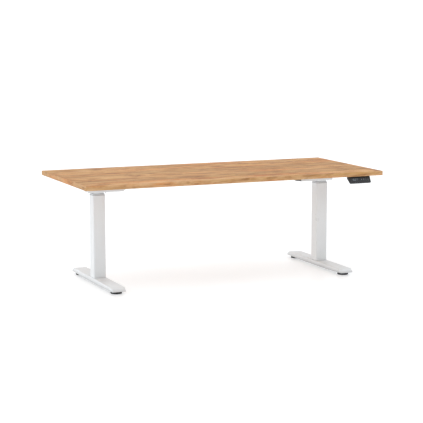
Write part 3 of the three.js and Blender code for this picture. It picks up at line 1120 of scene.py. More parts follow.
class SleeveTree(ShapeTree):
    """A round sleeve along a path, which can swell in even ribs."""

    INPUTS = {
        "Radius": "NodeSocketFloat",
        "Rib": "NodeSocketFloat",
        "Pitch": "NodeSocketFloat",
        "Step": "NodeSocketFloat",
        "Taper": "NodeSocketFloat",
        "Sides": "NodeSocketInt",
    }

    def draw(self) -> Signal:
        """Draws the tree and returns its geometry."""
        line = self.take("GeometryNodeMeshToCurve", sockets={"Mesh": self.given("Geometry")})
        even = self.take(
            "GeometryNodeResampleCurve", {"mode": "LENGTH"}, {"Curve": line, "Length": self.given("Step")}
        )
        reading = self.node("GeometryNodeSplineParameter")
        run, share = Signal(self, reading.outputs["Length"]), Signal(self, reading.outputs["Factor"])
        wave = self.math("SINE", run / self.given("Pitch") * TURN)
        swell = 1 + self.given("Rib") * wave - self.given("Taper") * share
        shaped = self.take("GeometryNodeSetCurveRadius", sockets={"Curve": even, "Radius": swell})
        ring = self.take(
            "GeometryNodeCurvePrimitiveCircle",
            {"mode": "RADIUS"},
            {"Resolution": self.given("Sides"), "Radius": self.given("Radius")},
        )
        sockets = {"Curve": shaped, "Profile Curve": ring, "Fill Caps": True}
        tube = self.node("GeometryNodeCurveToMesh", sockets=sockets)
        if "Scale" in tube.inputs:
            reach = self.take("GeometryNodeInputRadius")
            self.tree.links.new(reach.socket, tube.inputs["Scale"])
        return Signal(self, tube.outputs[0])


@dataclass
class Label:
    """What a piece is called, what it moves with and which CAD nodes it stands for."""

    name: str
    body: str
    slot: Slot
    nodes: tuple[str, ...] = ()


@dataclass
class Workshop:
    """Makes pieces out of shapes and trees, and hands them over to the frame."""

    rows: RowTree = field(default_factory=lambda: RowTree("row_of_parts"))
    threads: ThreadTree = field(default_factory=lambda: ThreadTree("threaded_rod"))
    sleeves: SleeveTree = field(default_factory=lambda: SleeveTree("sleeve_on_path"))
    made: int = 0

    def reach(self, node: str, place: Matrix = HERE) -> tuple[Vector, Vector]:
        """Reads a CAD node's box.

        Args:
            node: The node's name.
            place: The place, in millimetres, in whose own directions the box is wanted.

        Returns:
            Its lowest and highest corners, in millimetres.
        """
        back = place.inverted()
        corners = [back @ (corner / MM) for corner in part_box(node)]
        return Vector(map(min, *corners)), Vector(map(max, *corners))

    def deliver(
        self, work: "Shape | bpy.types.Mesh", label: Label, finish: Finish, place: Matrix = HERE,
        crease: float = 38.0,
    ) -> bpy.types.Object:
        """Makes a finished piece of a shape.

        Args:
            work: The shape, or a mesh from a tree, in millimetres.
            label: The piece's name, body, slot and CAD nodes.
            finish: Its finish.
            place: Where it goes, in millimetres.
            crease: The angle in degrees above which an edge looks sharp.

        Returns:
            The piece.
        """
        data = work.baked() if isinstance(work, Shape) else work
        data.transform(Matrix.Scale(MM, 4) @ place)
        data.shade_smooth()
        data.set_sharp_from_angle(angle=math.radians(crease))
        data.materials.clear()
        data.materials.append(finish.material())
        data = Shape.modified(data, "WEIGHTED_NORMAL", keep_sharp=True)
        data.name = label.name
        piece = linked(label.name, data)
        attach(piece, label.body)
        if label.nodes:
            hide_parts(*label.nodes)
        self.made += 1
        LOG.info("%-28s %-24s %6d faces", label.name, label.body, len(data.polygons))
        return piece

    def repeat(
        self, part: Shape, spots: Sequence[Stand], finish: Finish, size: float = 1.0
    ) -> bpy.types.Mesh:
        """Repeats a part.

        Args:
            part: The part, standing on the origin with its axis up.
            spots: (place, where its Z points, where its X points) of each copy.
            finish: Its finish.
            size: Its scale.

        Returns:
            All the copies as one mesh.
        """
        holder = linked("pattern", part.baked())
        carrier = bpy.data.meshes.new("spots")
        carrier.from_pydata([spot[0] for spot in spots], [], [])
        for index, name in ((1, "axis"), (2, "along")):
            layer = carrier.attributes.new(name, "FLOAT_VECTOR", "POINT")
            layer.data.foreach_set("vector", [value for spot in spots for value in spot[index]])
        made = self.rows.run(carrier, finish, Part=holder, Size=size)
        bpy.data.objects.remove(holder)
        return made

    def fasten(
        self, head: Shape, spots: Sequence[Stand], name: str, finish: Finish, body: str = "top",
        place: Matrix = HERE,
    ) -> None:
        """Delivers a set of screws of one kind."""
        self.deliver(self.repeat(head, spots, finish), Label(name, body, Slot.STEEL), finish, place)

    def thread(
        self, finish: Finish, length: float, root: float, depth: float, lead: float, starts: int = 1,
        bore: float = 0.0, around: int = 24, fine: float = 6.0,
    ) -> bpy.types.Mesh:
        """Makes a threaded rod that stands on the origin.

        Args:
            finish: Its finish.
            length: Its length.
            root: The radius at the thread's root.
            depth: The thread's depth.
            lead: How far a nut climbs in one turn.
            starts: How many threads run side by side.
            bore: The radius of the hole through it, or 0.
            around: Points round it.
            fine: Rows per thread.

        Returns:
            The rod's mesh.
        """
        rows = int(length / (lead / starts) * fine) + 4
        carrier = bpy.data.meshes.new("bare")
        values = {
            "Length": length, "Root": root, "Depth": depth, "Lead": lead, "Starts": float(starts),
            "Bore": bore,
        }
        return self.threads.run(carrier, finish, Around=around, Rows=rows, **values)

    def sleeve(
        self, path: Sequence[Vector], finish: Finish, radius: float, step: float = 4.0, rib: float = 0.0,
        pitch: float = 3.0, taper: float = 0.0, sides: int = 14,
    ) -> bpy.types.Mesh:
        """Makes a sleeve along a path.

        Args:
            path: The points of its centre line.
            finish: Its finish.
            radius: Its radius.
            step: The distance between its rings.
            rib: How far its ribs swell, as a share of the radius.
            pitch: The distance between ribs.
            taper: How much thinner its end is, as a share of the radius.
            sides: Points round it.

        Returns:
            The sleeve's mesh.
        """
        carrier = bpy.data.meshes.new("line")
        carrier.from_pydata([tuple(p) for p in path], [(i, i + 1) for i in range(len(path) - 1)], [])
        values = {"Radius": radius, "Rib": rib, "Pitch": pitch, "Step": step, "Taper": taper}
        return self.sleeves.run(carrier, finish, Sides=sides, **values)


def merged(*works: "Shape | bpy.types.Mesh") -> Shape:
    """Returns one shape of several shapes or meshes."""
    whole = Shape()
    for work in works:
        whole.add(work)
    return whole


def placed(work: "Shape | bpy.types.Mesh", place: Matrix) -> Shape:
    """Returns a moved copy of a shape or mesh."""
    whole = merged(work)
    whole.mesh.transform(place)
    return whole


# ---- Small parts that are repeated ----


def cap_screw(radius: float = 5.0, height: float = 5.0, key: float = 2.4) -> Shape:
    """Draws a cap screw's head with its hexagon socket.

    Args:
        radius: The head's radius.
        height: The head's height.
        key: Half the socket's width.

    Returns:
        The head, standing on the origin.
    """
    rim = [(0, -0.4), (radius, -0.4), (radius, height - 0.8), (radius - 0.8, height)]
    head = [round_loop(r, z, 18) for r, z in rim]
    head += [round_loop(key * 1.1, z, 18) for z in (height, height * 0.4)]
    return Shape().stack(head)


def wood_screw(radius: float = 4.2) -> Shape:
    """Draws a pan-head screw's head with a cross recess, standing on the origin."""
    dome = [(0, -0.3), (radius, -0.3), (radius, 0.7), (radius * 0.86, 1.6), (radius * 0.5, 2.2), (0, 2.4)]
    head = Shape().turned(dome, 18)
    slots = Shape().block((-2.1, -0.45, 1.2), (2.1, 0.45, 3), 0.1)
    slots.block((-0.45, -2.1, 1.21), (0.45, 2.1, 3.01), 0.1)
    return head.cut(slots, crossing=True)


def hexagon(radius: float, low: float, high: float, bore: float) -> Shape:
    """Draws a hexagon nut.

    Args:
        radius: Half its width across the corners.
        low: Its underside.
        high: Its upper side.
        bore: The radius of its hole.

    Returns:
        The nut.
    """
    loops = []
    for r, z, round_off in (
        (bore, low, 1), (radius, low, 0.93), (radius, low + 0.5, 1), (radius, high - 0.6, 1),
        (radius, high, 0.93), (bore, high, 1),
    ):
        loop = []
        for k in range(24):
            angle = TURN * k / 24
            flat = math.cos(TURN / 12) / math.cos((angle % (TURN / 6)) - TURN / 12)
            far = r if r == bore else min(r * flat, r * round_off * (1 if round_off == 1 else 0.98))
            loop.append(Vector((far * math.cos(angle), far * math.sin(angle), z)))
        loops.append(loop)
    return Shape().stack(loops, ring=True)


def tube_wall(size: float, corner: float, wall: float, low: float, high: float) -> Shape:
    """Draws a square tube with rounded corners and eased ends.

    Args:
        size: Its width across the flats.
        corner: Its outer corner radius.
        wall: Its wall.
        low: Its lower end.
        high: Its upper end.

    Returns:
        The tube.
    """
    half, ease = size / 2, min(0.4, wall * 0.4)
    levels = eased(low, high, ease, 2)
    outside = [square_loop(half - d, half - d, corner - d, z, 8) for z, d in levels]
    inside = [
        square_loop(half - wall + d, half - wall + d, max(corner - wall, 0.6) + d, z, 8) for z, d in levels
    ]
    return Shape().stack(outside + inside[::-1], ring=True)


# ---- Legs ----


@dataclass
class Leg:
    """One leg: foot, levellers, three-stage column, lifting screws, head, drive and side arm."""

    shop: Workshop
    side: Side
    tube_corner: float = 4.0
    middle_corner: float = 4.0
    inner_corner: float = 3.0
    wall: float = 1.4
    middle_wall: float = 1.2
    travel_per_turn: float = 20.0
    starts: int = 4
    place: Matrix = field(init=False)

    def __post_init__(self) -> None:
        """Finds the leg's middle from its outer tube."""
        low, high = self.shop.reach(f"{self.side.value}_outer_tube")
        middle = (low + high) / 2
        self.place = shift(middle.x, middle.y, 0)
        if self.side is Side.RIGHT:
            self.place = self.place @ Matrix.Rotation(math.pi, 4, "Z")

    def reach(self, part: str) -> tuple[Vector, Vector]:
        """Returns a part's box in the leg's own directions."""
        return self.shop.reach(f"{self.side.value}_{part}", self.place)

    def hand_over(
        self, work: "Shape | bpy.types.Mesh", name: str, body: str, slot: Slot, finish: Finish, *nodes: str,
        crease: float = 38.0,
    ) -> None:
        """Delivers one of the leg's pieces.

        Args:
            work: Its shape.
            name: Its name after the side.
            body: The body it moves with, with {} for the side.
            slot: The record's slot.
            finish: Its finish.
            *nodes: The CAD nodes it stands for, without the side.
            crease: The angle above which an edge looks sharp.
        """
        side = self.side.value
        label = Label(f"{side}_{name}", body.format(side), slot, tuple(f"{side}_{node}" for node in nodes))
        self.shop.deliver(work, label, finish, self.place, crease)

    def fasten(
        self, head: Shape, spots: Sequence[Stand], name: str, finish: Finish = ZINC, body: str = "top"
    ) -> None:
        """Delivers one of the leg's sets of screws."""
        self.shop.fasten(head, spots, f"{self.side.value}_{name}", finish, body, self.place)

    def foot(self) -> None:
        """Folds the foot: a channel open below, thinner towards its ends."""
        low, high = self.reach("foot")
        half_x, half_y, top = high.x, high.y, high.z
        flat, tip, slope, sheet, bend = 150.0, 16.0, 27.0, 3.0, 4.0

        def level(share: float, draw: float, skin: float) -> Loop:
            loop = []
            for point in square_loop(
                half_x - draw - skin, half_y - draw - skin * 1.6, max(6.0 - draw - skin, 1.2), 0, 5, 24
            ):
                out = max(0.0, abs(point.y) - flat) / (half_y - flat)
                rim = low.z + (tip - low.z) * out
                z = rim + (top - skin - rim) * share
                lean = 1 - slope / half_y * max(0.0, (z - tip) / (top - tip))
                loop.append(Vector((point.x, point.y * lean, z)))
            return loop

        depth = top - low.z
        turns = [TURN / 4 * k / 5 for k in range(6)]
        outside = [level(0.0, 0.3, 0), level(0.015, 0.0, 0)]
        outside += [level(1 - bend / depth * (1 - math.sin(a)), bend * (1 - math.cos(a)), 0) for a in turns]
        inside = [level(1.0, 2.0, sheet), level(0.93, 0.0, sheet), level(0.0, 0.0, sheet - 0.3)]
        shell = Shape().stack(inside + outside)
        for end in (-1, 1):
            boss = [(4.4, 20), (7.4, 20), (8, 20.6), (8, 33.5), (10, PLATE_TOP), (4.4, PLATE_TOP)]
            shell.turned(boss, 32, True, shift(0, end * LEVELLER_REACH))
            for lean in (-1, 1):
                shell.block(
                    (lean * 22 - 1.2, end * 110 - 90, 27), (lean * 22 + 1.2, end * 110 + 90, PLATE_TOP), 0.5
                )
        shell.block((-34, -52, 31), (34, 52, PLATE_TOP), 1.0, 4)
        self.hand_over(shell, "foot_channel", "base", Slot.WHITE_FRAME, WHITE, "foot")
        bolts = stands((x, y, 31.1) for x in (-22, 22) for y in (-38, 38))
        bolts += stands(((0, y, 31.1) for y in (-38, 38)), along=(0, 1, 0))
        self.fasten(cap_screw(6.5, 6, 3), bolts, "foot_bolts", body="base")

    def leveller(self, end: str, sign: int) -> None:
        """Makes one leveller.

        Args:
            end: Front or back.
            sign: Which way along the leg's Y it is.
        """
        body = "{}_" + end + "_leveller"
        at = shift(0, sign * LEVELLER_REACH)
        rim = rounded(
            [(31, 2.2), (31.6, 2.2), (31.6, 6.4), (29.5, 7.9), (12, 7.95), (9.5, 8.2), (9.2, 10)], 0.8, 3,
            False,
        )
        disc = Shape().turned([(0, 2.2), *rim, (7.4, 10), (7.4, 8), (0, 8)], 72)
        grip = Shape().block((-0.9, -0.75, -2.1), (0.7, 0.75, 2.1), 0.4)
        ways = [(math.cos(TURN * k / 36), math.sin(TURN * k / 36)) for k in range(36)]
        spots = [((31.3 * c, 31.3 * s, 4.4), UP, (c, s, 0)) for c, s in ways]
        ribs = self.shop.repeat(grip, spots, BLACK)
        self.hand_over(
            merged(placed(disc, at), placed(ribs, at)), f"{end}_leveller_disc", body, Slot.BLACK_PLASTIC,
            BLACK, f"{end}_leveller",
        )
        tread = [(0, 0.7)]
        for k in range(5):
            inner = 4 + k * 5.2
            tread += [(inner, 0.7), (inner + 0.5, 0.0), (inner + 3.6, 0.0), (inner + 4.1, 0.7)]
        tread += [(29.9, 0.7), (30.4, 0.2), (30.9, 0.9), (30.9, 2.3), (0, 2.3)]
        self.hand_over(
            placed(Shape().turned(tread, 64), at), f"{end}_leveller_pad", body, Slot.PAD_RUBBER, RUBBER
        )
        stud = placed(self.shop.thread(ZINC, 16.4, 3.4, 0.6, 1.25), shift(0, 0, 12))
        neck = hexagon(7.9, 8, 12.2, 3.2)
        self.hand_over(placed(merged(stud, neck), at), f"{end}_leveller_stud", body, Slot.STEEL, ZINC)

    def collar(
        self, name: str, body: str, tube: tuple[float, float, float], slider: tuple[float, float]
    ) -> None:
        """Makes one guide ring, a lip on a tube's end with a skirt inside it.

        Args:
            name: The ring's name.
            body: The body it moves with.
            tube: The tube's size, corner and wall.
            slider: The size and corner of the tube that slides in it.
        """
        _, high = self.reach(name)
        size, corner, wall = tube
        gap, lip, skirt = 0.3, 3.0, 32.0
        bore, bore_corner = slider[0] / 2 + gap, slider[1] + gap
        out, drop = size / 2, wall + gap
        seat = high.z - lip
        rows = [
            (out - 0.2, corner, seat),
            (out, corner, seat + 0.3),
            (out, corner, high.z - 1.4),
            (out - 0.4, corner - 0.4, high.z - 0.5),
            (out - 1.3, corner - 1.3, high.z),
            (bore + 0.5, bore_corner + 0.5, high.z),
            (bore, bore_corner, high.z - 0.6),
            (bore, bore_corner, seat - skirt + 1),
            (bore + 0.3, bore_corner + 0.3, seat - skirt),
            (out - drop - 0.1, corner - drop, seat - skirt),
            (out - drop, corner - drop, seat - skirt + 0.6),
            (out - drop, corner - drop, seat),
        ]
        ring = Shape().stack([square_loop(h, h, c, z, 8) for h, c, z in rows], ring=True)
        self.hand_over(ring, f"{name}_ring", body, Slot.GUIDE_PLASTIC, GUIDE, name)

    def column(self) -> None:
        """Makes the three tubes, their guide rings and the base plate."""
        stages = (
            ("outer", "base", self.tube_corner, self.wall),
            ("middle", "{}_middle_stage", self.middle_corner, self.middle_wall),
            ("inner", "top", self.inner_corner, self.wall),
        )
        tubes = []
        for name, body, corner, wall in stages:
            low, high = self.reach(f"{name}_tube")
            size = high.x * 2
            tube = tube_wall(size, corner, wall, low.z, high.z)
            if name == "outer":
                half = high.x - wall + 0.3
                levels = eased(low.z, low.z + 5, 0.4, 1)
                tube.stack([square_loop(half - d, half - d, 2.8, z, 6) for z, d in levels])
            self.hand_over(tube, f"{name}_column", body, Slot.WHITE_FRAME, WHITE, f"{name}_tube")
            tubes.append((size, corner, wall))
        for (name, body, _, _), tube, slider in zip(stages, tubes, tubes[1:]):
            self.collar(f"{name}_collar", body, tube, slider[:2])

    def lifting_screws(self) -> None:
        """Makes the stand pipe, riser, nuts and the two screws that lift the stages."""
        low, high = self.reach("stand_pipe")
        pipe = rounded(
            [(12, low.z), (29, low.z), (29, low.z + 4), (14, low.z + 4), (14, high.z), (12, high.z)], 0.7, 2
        )
        self.hand_over(
            Shape().turned(pipe, 48, True), "stand_pipe_tube", "base", Slot.STEEL, STEEL, "stand_pipe"
        )
        ways = [(math.cos(TURN * k / 4), math.sin(TURN * k / 4)) for k in range(4)]
        bolts = [((21 * c, 21 * s, low.z + 3.9), UP, (c, s, 0)) for c, s in ways]
        self.fasten(cap_screw(4, 3, 2), bolts, "stand_pipe_bolts", body="base")
        top = high.z
        nut = [
            (10.4, top - 10), (11.7, top - 10), (11.7, top + 0.3), (14, top + 0.3), (14, top + 6),
            (13.2, top + 7), (13.2, top + 9), (14, top + 10), (14, top + 18), (10.4, top + 18),
        ]
        self.hand_over(
            Shape().turned(rounded(nut, 0.5, 2), 48, True), "base_nut_brass", "base", Slot.BRASS, BRASS,
            "base_nut",
        )
        low, high = self.reach("riser")
        riser = Shape().turned(
            rounded([(15.5, low.z), (17.5, low.z), (17.5, high.z), (15.5, high.z)], 0.5, 2), 48, True
        )
        plate = Shape().block((low.x, low.y, low.z), (high.x, high.y, low.z + 4), 0.5, 5)
        plate.cut(Shape().rod(17, low.z - 1, low.z + 5, 48))
        self.hand_over(merged(riser, plate), "riser_tube", "{}_middle_stage", Slot.STEEL, STEEL, "riser")
        top = high.z
        nut = [
            (17.8, top - 15), (20, top - 15), (20, top + 20.3), (17.8, top + 22.3), (6.4, top + 22.3),
            (6.4, top + 6.3), (17.8, top + 6.3),
        ]
        self.hand_over(
            Shape().turned(rounded(nut, 0.5, 2), 48, True), "carrier_nut_brass", "{}_middle_stage",
            Slot.BRASS, BRASS, "carrier_nut",
        )
        low, high = self.reach("hollow_screw")
        seat = top + 0.3
        rod = self.shop.thread(
            STEEL, seat - low.z - 0.3, 9.0, 1.0, self.travel_per_turn, self.starts, 6.8, 28, 5
        )
        flange = Shape().turned(
            rounded(
                [(6.9, seat - 2), (9.4, seat - 2), (9.4, seat), (17.2, seat), (17.2, high.z), (6.9, high.z)],
                0.5, 2,
            ),
            48, True,
        )
        screw = merged(placed(rod, shift(0, 0, low.z)), flange)
        self.hand_over(screw, "hollow_screw_rod", "{}_hollow_spindle", Slot.STEEL, STEEL, "hollow_screw")
        low, high = self.reach("drive_screw")
        rod = self.shop.thread(
            STEEL, high.z - 25 - low.z, 5.1, 0.9, self.travel_per_turn, self.starts, 0.0, 24, 5
        )
        shaft = Shape().turned(
            [
                (0, high.z - 26), (5.9, high.z - 26), (5.9, high.z - 7), (4.5, high.z - 5),
                (4.5, high.z - 0.5), (4.0, high.z), (0, high.z),
            ],
            40,
        )
        screw = merged(placed(rod, shift(0, 0, low.z)), shaft)
        self.hand_over(screw, "drive_screw_rod", "{}_drive_spindle", Slot.STEEL, STEEL, "drive_screw")

    def head(self) -> None:
        """Folds the head bracket that hangs under the top and carries the drive."""
        low, high = self.reach("head")
        w, z, top, end, out = high.y, low.z, high.z, high.x, low.x
        panels = [
            [(out, -w, z), (end, -w, z), (end, w, z), (out, w, z)],
            [(out, -w, z), (end, -w, z), (end, -w, top), (out, -w, top)],
            [(out, w, z), (end, w, z), (end, w, top), (out, w, top)],
            [(out, -w, z), (out, w, z), (out, w, top), (out, -w, top)],
        ]
        bracket = Shape().folded(panels, 3.0, 4.5)
        holes = Shape().rod(6.6, z - 2, z + 5)
        for x in (-48, 52, 128):
            for y in (-24, 24):
                holes.rod(2.6, z - 2, z + 5, 20, shift(x, y))
        for x in (-10, 72):
            low_side, high_side = RAIL_MIDDLE, RAIL_MIDDLE + 0.01
            slot = inset([(x - 9, low_side), (x + 9, low_side), (x + 9, high_side), (x - 9, high_side)], -2.6)
            holes.prism(
                rounded(slot, 2.5, 4), -w - 3, -w + 6,
                place=Matrix.Rotation(TURN / 4, 4, "X") @ Matrix.Scale(-1, 4, (0, 0, 1)),
            )
        bracket.cut(holes)
        self.hand_over(bracket, "head_bracket", "top", Slot.WHITE_FRAME, WHITE, "head")
        bolts = stands((x, y, z + 0.2) for x in (-38, 38) for y in (-34, 34))
        self.fasten(cap_screw(4.6, 3.2, 2.2), bolts, "head_bolts")
        bolts = [((x, s * RAIL_FACE, RAIL_MIDDLE), (0, s, 0), EAST) for x in (-30, 110) for s in (-1, 1)]
        self.fasten(cap_screw(5.2, 4, 2.5), bolts, "rail_bolts")

    def gearbox(self) -> None:
        """Casts the gearbox round its worm and wheel."""
        low, high = self.reach("gearbox")
        case = Shape().block(low, high, 1.5, 5)
        for x in (-24, -12, 14, 26):
            case.block((x - 1.2, low.y - 4, low.z + 1), (x + 1.2, low.y + 1, high.z - 1), 0.5)
        case.block((low.x + 4, low.y + 4, high.z - 1), (high.x - 4, high.y - 4, high.z + 1.8), 0.5, 4)
        worm_line = shift(0, DRIVE_Y, DRIVE_Z) @ ALONG_X
        tool = Shape().rod(14, 545, 560, 40)
        tool.rod(6.5, low.z - 3, high.z + 5)
        tool.rod(8.2, -24, 40, place=worm_line)
        case.cut(tool, crossing=True)
        self.hand_over(case, "gearbox_casting", "top", Slot.ALUMINIUM, CAST, "gearbox")
        lid = stands(((x, y, high.z + 1.6) for x in (-20, 22) for y in (-15, 28)), UP)
        self.fasten(cap_screw(3, 2.4, 1.5), lid, "gearbox_screws", BLACK_SCREW)
        thread = self.shop.thread(STEEL_ALONG, 34, 5.0, 1.9, 7.54, 2, 0.0, 32, 16)
        core = Shape().turned(
            [
                (0, -22), (3.6, -22), (4, -21.6), (4, -17), (4.8, -16.5), (4.8, 16.5), (4, 17), (4, 31),
                (3.6, 31.5), (0, 31.5),
            ],
            32,
        )
        worm = merged(placed(thread, shift(0, 0, -17)), core)
        self.hand_over(
            placed(worm, worm_line), "worm_shaft", "{}_worm_shaft", Slot.STEEL, STEEL_ALONG, "worm"
        )
        loops = []
        for z, shrink in ((546, 0.8), (546.6, 0.0), (550, 0.0), (554, 0.0), (557.4, 0.0), (558, 0.8)):
            loop = []
            for tooth in range(20):
                for share, far in (
                    (-0.36, 11.1), (-0.2, 12.2), (-0.1, 12.65), (0.1, 12.65), (0.2, 12.2), (0.36, 11.1)
                ):
                    angle = (tooth + share + (z - DRIVE_Z) * 0.012) * TURN / 20
                    r = far - shrink
                    loop.append(Vector((r * math.cos(angle), r * math.sin(angle), z)))
            loops.append(loop)
        bore = [round_loop(6.1, z, 120) for z in (558, 546)]
        wheel = Shape().stack(loops + bore, ring=True)
        self.hand_over(
            wheel, "worm_wheel_gear", "{}_drive_spindle", Slot.BRASS, BRONZE, "worm_wheel", crease=30
        )

    def motor(self) -> None:
        """Makes the motor, its end cap and the boot where its lead comes out."""
        line = shift(0, DRIVE_Y, DRIVE_Z) @ ALONG_X
        can = [
            (0, 32.6), (18, 32.6), (20.4, 33.2), (21, 34.2), (21, 41), (20.5, 41.3), (20.5, 42.2), (21, 42.5),
            (21, 133.5), (20.5, 133.8), (20.5, 134.7), (21, 135), (21, 142.3), (20, 143.5), (0, 143.5),
        ]
        self.hand_over(
            Shape().turned(can, 64, place=line), "motor_can", "top", Slot.ALUMINIUM, STEEL_ALONG, "motor"
        )
        low, high = self.reach("motor_cap")
        middle = (low + high) / 2
        half_y, half_z = high.y - middle.y, high.z - middle.z
        rows = [
            (0, 0.5), (0.5, 0), (5.5, 0), (5.8, 0.7), (7.6, 0.7), (7.9, 0), (24, 0), (26, 0.8), (27, 2.6),
            (27.2, 5), (26.6, 6),
        ]
        loops = [square_loop(half_y - d, half_z - d, 10 - d, x, 8) for x, d in rows]
        shell = Shape().stack(loops, place=shift(low.x, middle.y, middle.z) @ ALONG_X)
        rib = Shape().block((-1.2, -9, -0.5), (1.2, 9, 0.7), 0.3)
        grip = stands((low.x + 11 + k * 3, middle.y, low.z + 0.3) for k in range(4))
        grip += stands(((low.x + 11 + k * 3, low.y + 0.3, middle.z) for k in range(4)), (0, -1, 0))
        ribs = self.shop.repeat(rib, grip, BLACK)
        self.hand_over(merged(shell, ribs), "motor_end_cap", "top", Slot.BLACK_PLASTIC, BLACK, "motor_cap")
        corners = [(high.x - 0.9, middle.y + y, middle.z + z) for y in (-15, 15) for z in (-17, 17)]
        screws = stands(corners, EAST, (0, 1, 0))
        self.fasten(cap_screw(2.4, 1.6, 1.2), screws, "motor_cap_screws", BLACK_SCREW)
        boot = self.shop.sleeve(
            [Vector((high.x - 1 + k, DRIVE_Y, DRIVE_Z)) for k in range(27)], BLACK, 5.4, 0.6, 0.07, 3.2, 0.34,
            24,
        )
        self.hand_over(boot, "motor_lead_boot", "top", Slot.BLACK_PLASTIC, BLACK)

    def side_arm(self) -> None:
        """Folds the arm that holds the end of the top, deepest over the column."""
        low, high = self.reach("side_arm")
        half, top, tip, depth, deep = high.y, high.z, 11, 35, 60
        line = [(-half, tip), (-deep, depth), (deep, depth), (half, tip)]
        panels = [[(low.x, -half, top), (high.x, -half, top), (high.x, half, top), (low.x, half, top)]]
        for x in (low.x, high.x):
            cheek = [(x, y, top - drop) for y, drop in reversed(line)]
            panels.append([(x, -half, top), (x, half, top), *cheek])
        arm = Shape().folded(panels, 2.6, 4.0)
        middle = (low.x + high.x) / 2
        spots = [-260, -90, 90, 260]
        holes = Shape()
        for y in spots:
            holes.rod(3.2, top - 6, top + 2, 24, shift(middle, y))
        for y in (-150, 0, 150):
            outline = rounded(oblong(0, 0, 9, 22), 8, 5)
            holes.prism(outline, top - 6, top + 2, place=shift(middle, y, 0))
        arm.cut(holes)
        self.hand_over(arm, "side_arm_channel", "top", Slot.WHITE_FRAME, WHITE, "side_arm")
        screws = stands((middle, y, top - 2.7) for y in spots)
        self.fasten(wood_screw(5.2), screws, "side_arm_screws")

    def build(self) -> None:
        """Makes the whole leg."""
        self.foot()
        near = -1 if self.side is Side.LEFT else 1
        self.leveller("front", near)
        self.leveller("back", -near)
        self.column()
        self.lifting_screws()
        self.head()
        self.gearbox()
        self.motor()
        self.side_arm()


# ---- The top and what hangs from it ----


@dataclass
class Tabletop:
    """The board and the band round its edges."""

    shop: Workshop
    corner: float = 4.0
    band: float = 2.0

    def build(self) -> None:
        """Makes the board and the edge band."""
        low, high = self.shop.reach("tabletop_board")
        levels = eased(low.z, high.z, 0.25, 2)
        c = self.corner - self.band
        loops = [square_loop(high.x - d, high.y - d, c - d, z, 5) for z, d in levels]
        self.shop.deliver(Shape().stack(loops), Label("board", "top", Slot.OAK_TOP, ("tabletop_board",)), OAK)
        low, high = self.shop.reach("edge_band")
        outside = [
            square_loop(high.x - d, high.y - d, self.corner - d, z, 8)
            for z, d in eased(low.z, high.z, 1.3, 4)
        ]
        x, y = high.x - self.band, high.y - self.band
        inside = [square_loop(x + d, y + d, c + d, z, 8) for z, d in eased(low.z, high.z, 0.15, 1)]
        ring = Shape().stack(outside + inside[::-1], ring=True)
        self.shop.deliver(ring, Label("board_edge", "top", Slot.OAK_EDGE, ("edge_band",)), OAK_BAND_PAINTED_LIGHT)


@dataclass
class Rails:
    """The two telescoping crossbars: a wide channel on the left, a narrower one inside it."""

    shop: Workshop
    sheet: float = 2.0

    def rail(self, name: str) -> None:
        """Folds one rail, open above."""
        low, high = self.shop.reach(name)
        bend = 3.2
        outer = rounded(
            [(low.y, high.z), (low.y, low.z), (high.y, low.z), (high.y, high.z)], bend * 1.2, 5, False
        )
        inner = [
            (min(max(y, low.y + self.sheet), high.y - self.sheet), max(z, low.z + self.sheet))
            for y, z in outer
        ]
        channel = Shape().prism(outer + inner[::-1], low.x, high.x, place=ALONG_X)
        tool = Shape()
        middle = (low.y + high.y) / 2
        for x in range(int(low.x) + 70, int(high.x) - 40, 120):
            outline = rounded(oblong(x, middle, 11, 3.2), 3.1, 5)
            tool.prism(outline, low.z - 2, low.z + 4)
        channel.cut(tool)
        self.shop.deliver(channel, Label(f"{name}_channel", "top", Slot.WHITE_FRAME, (name,)), WHITE)

    def build(self) -> None:
        """Makes the four rails and the bolts that clamp them."""
        bolts = []
        for place, sign in (("front", -1), ("back", 1)):
            for side in ("left", "right"):
                self.rail(f"{place}_{side}_rail")
            bolts += stands(((x, sign * RAIL_FACE, RAIL_MIDDLE + 0.5) for x in (-110, -40, 30)), (0, sign, 0))
        self.shop.fasten(cap_screw(4.8, 3.6, 2.3), bolts, "rail_clamp_bolts", ZINC)


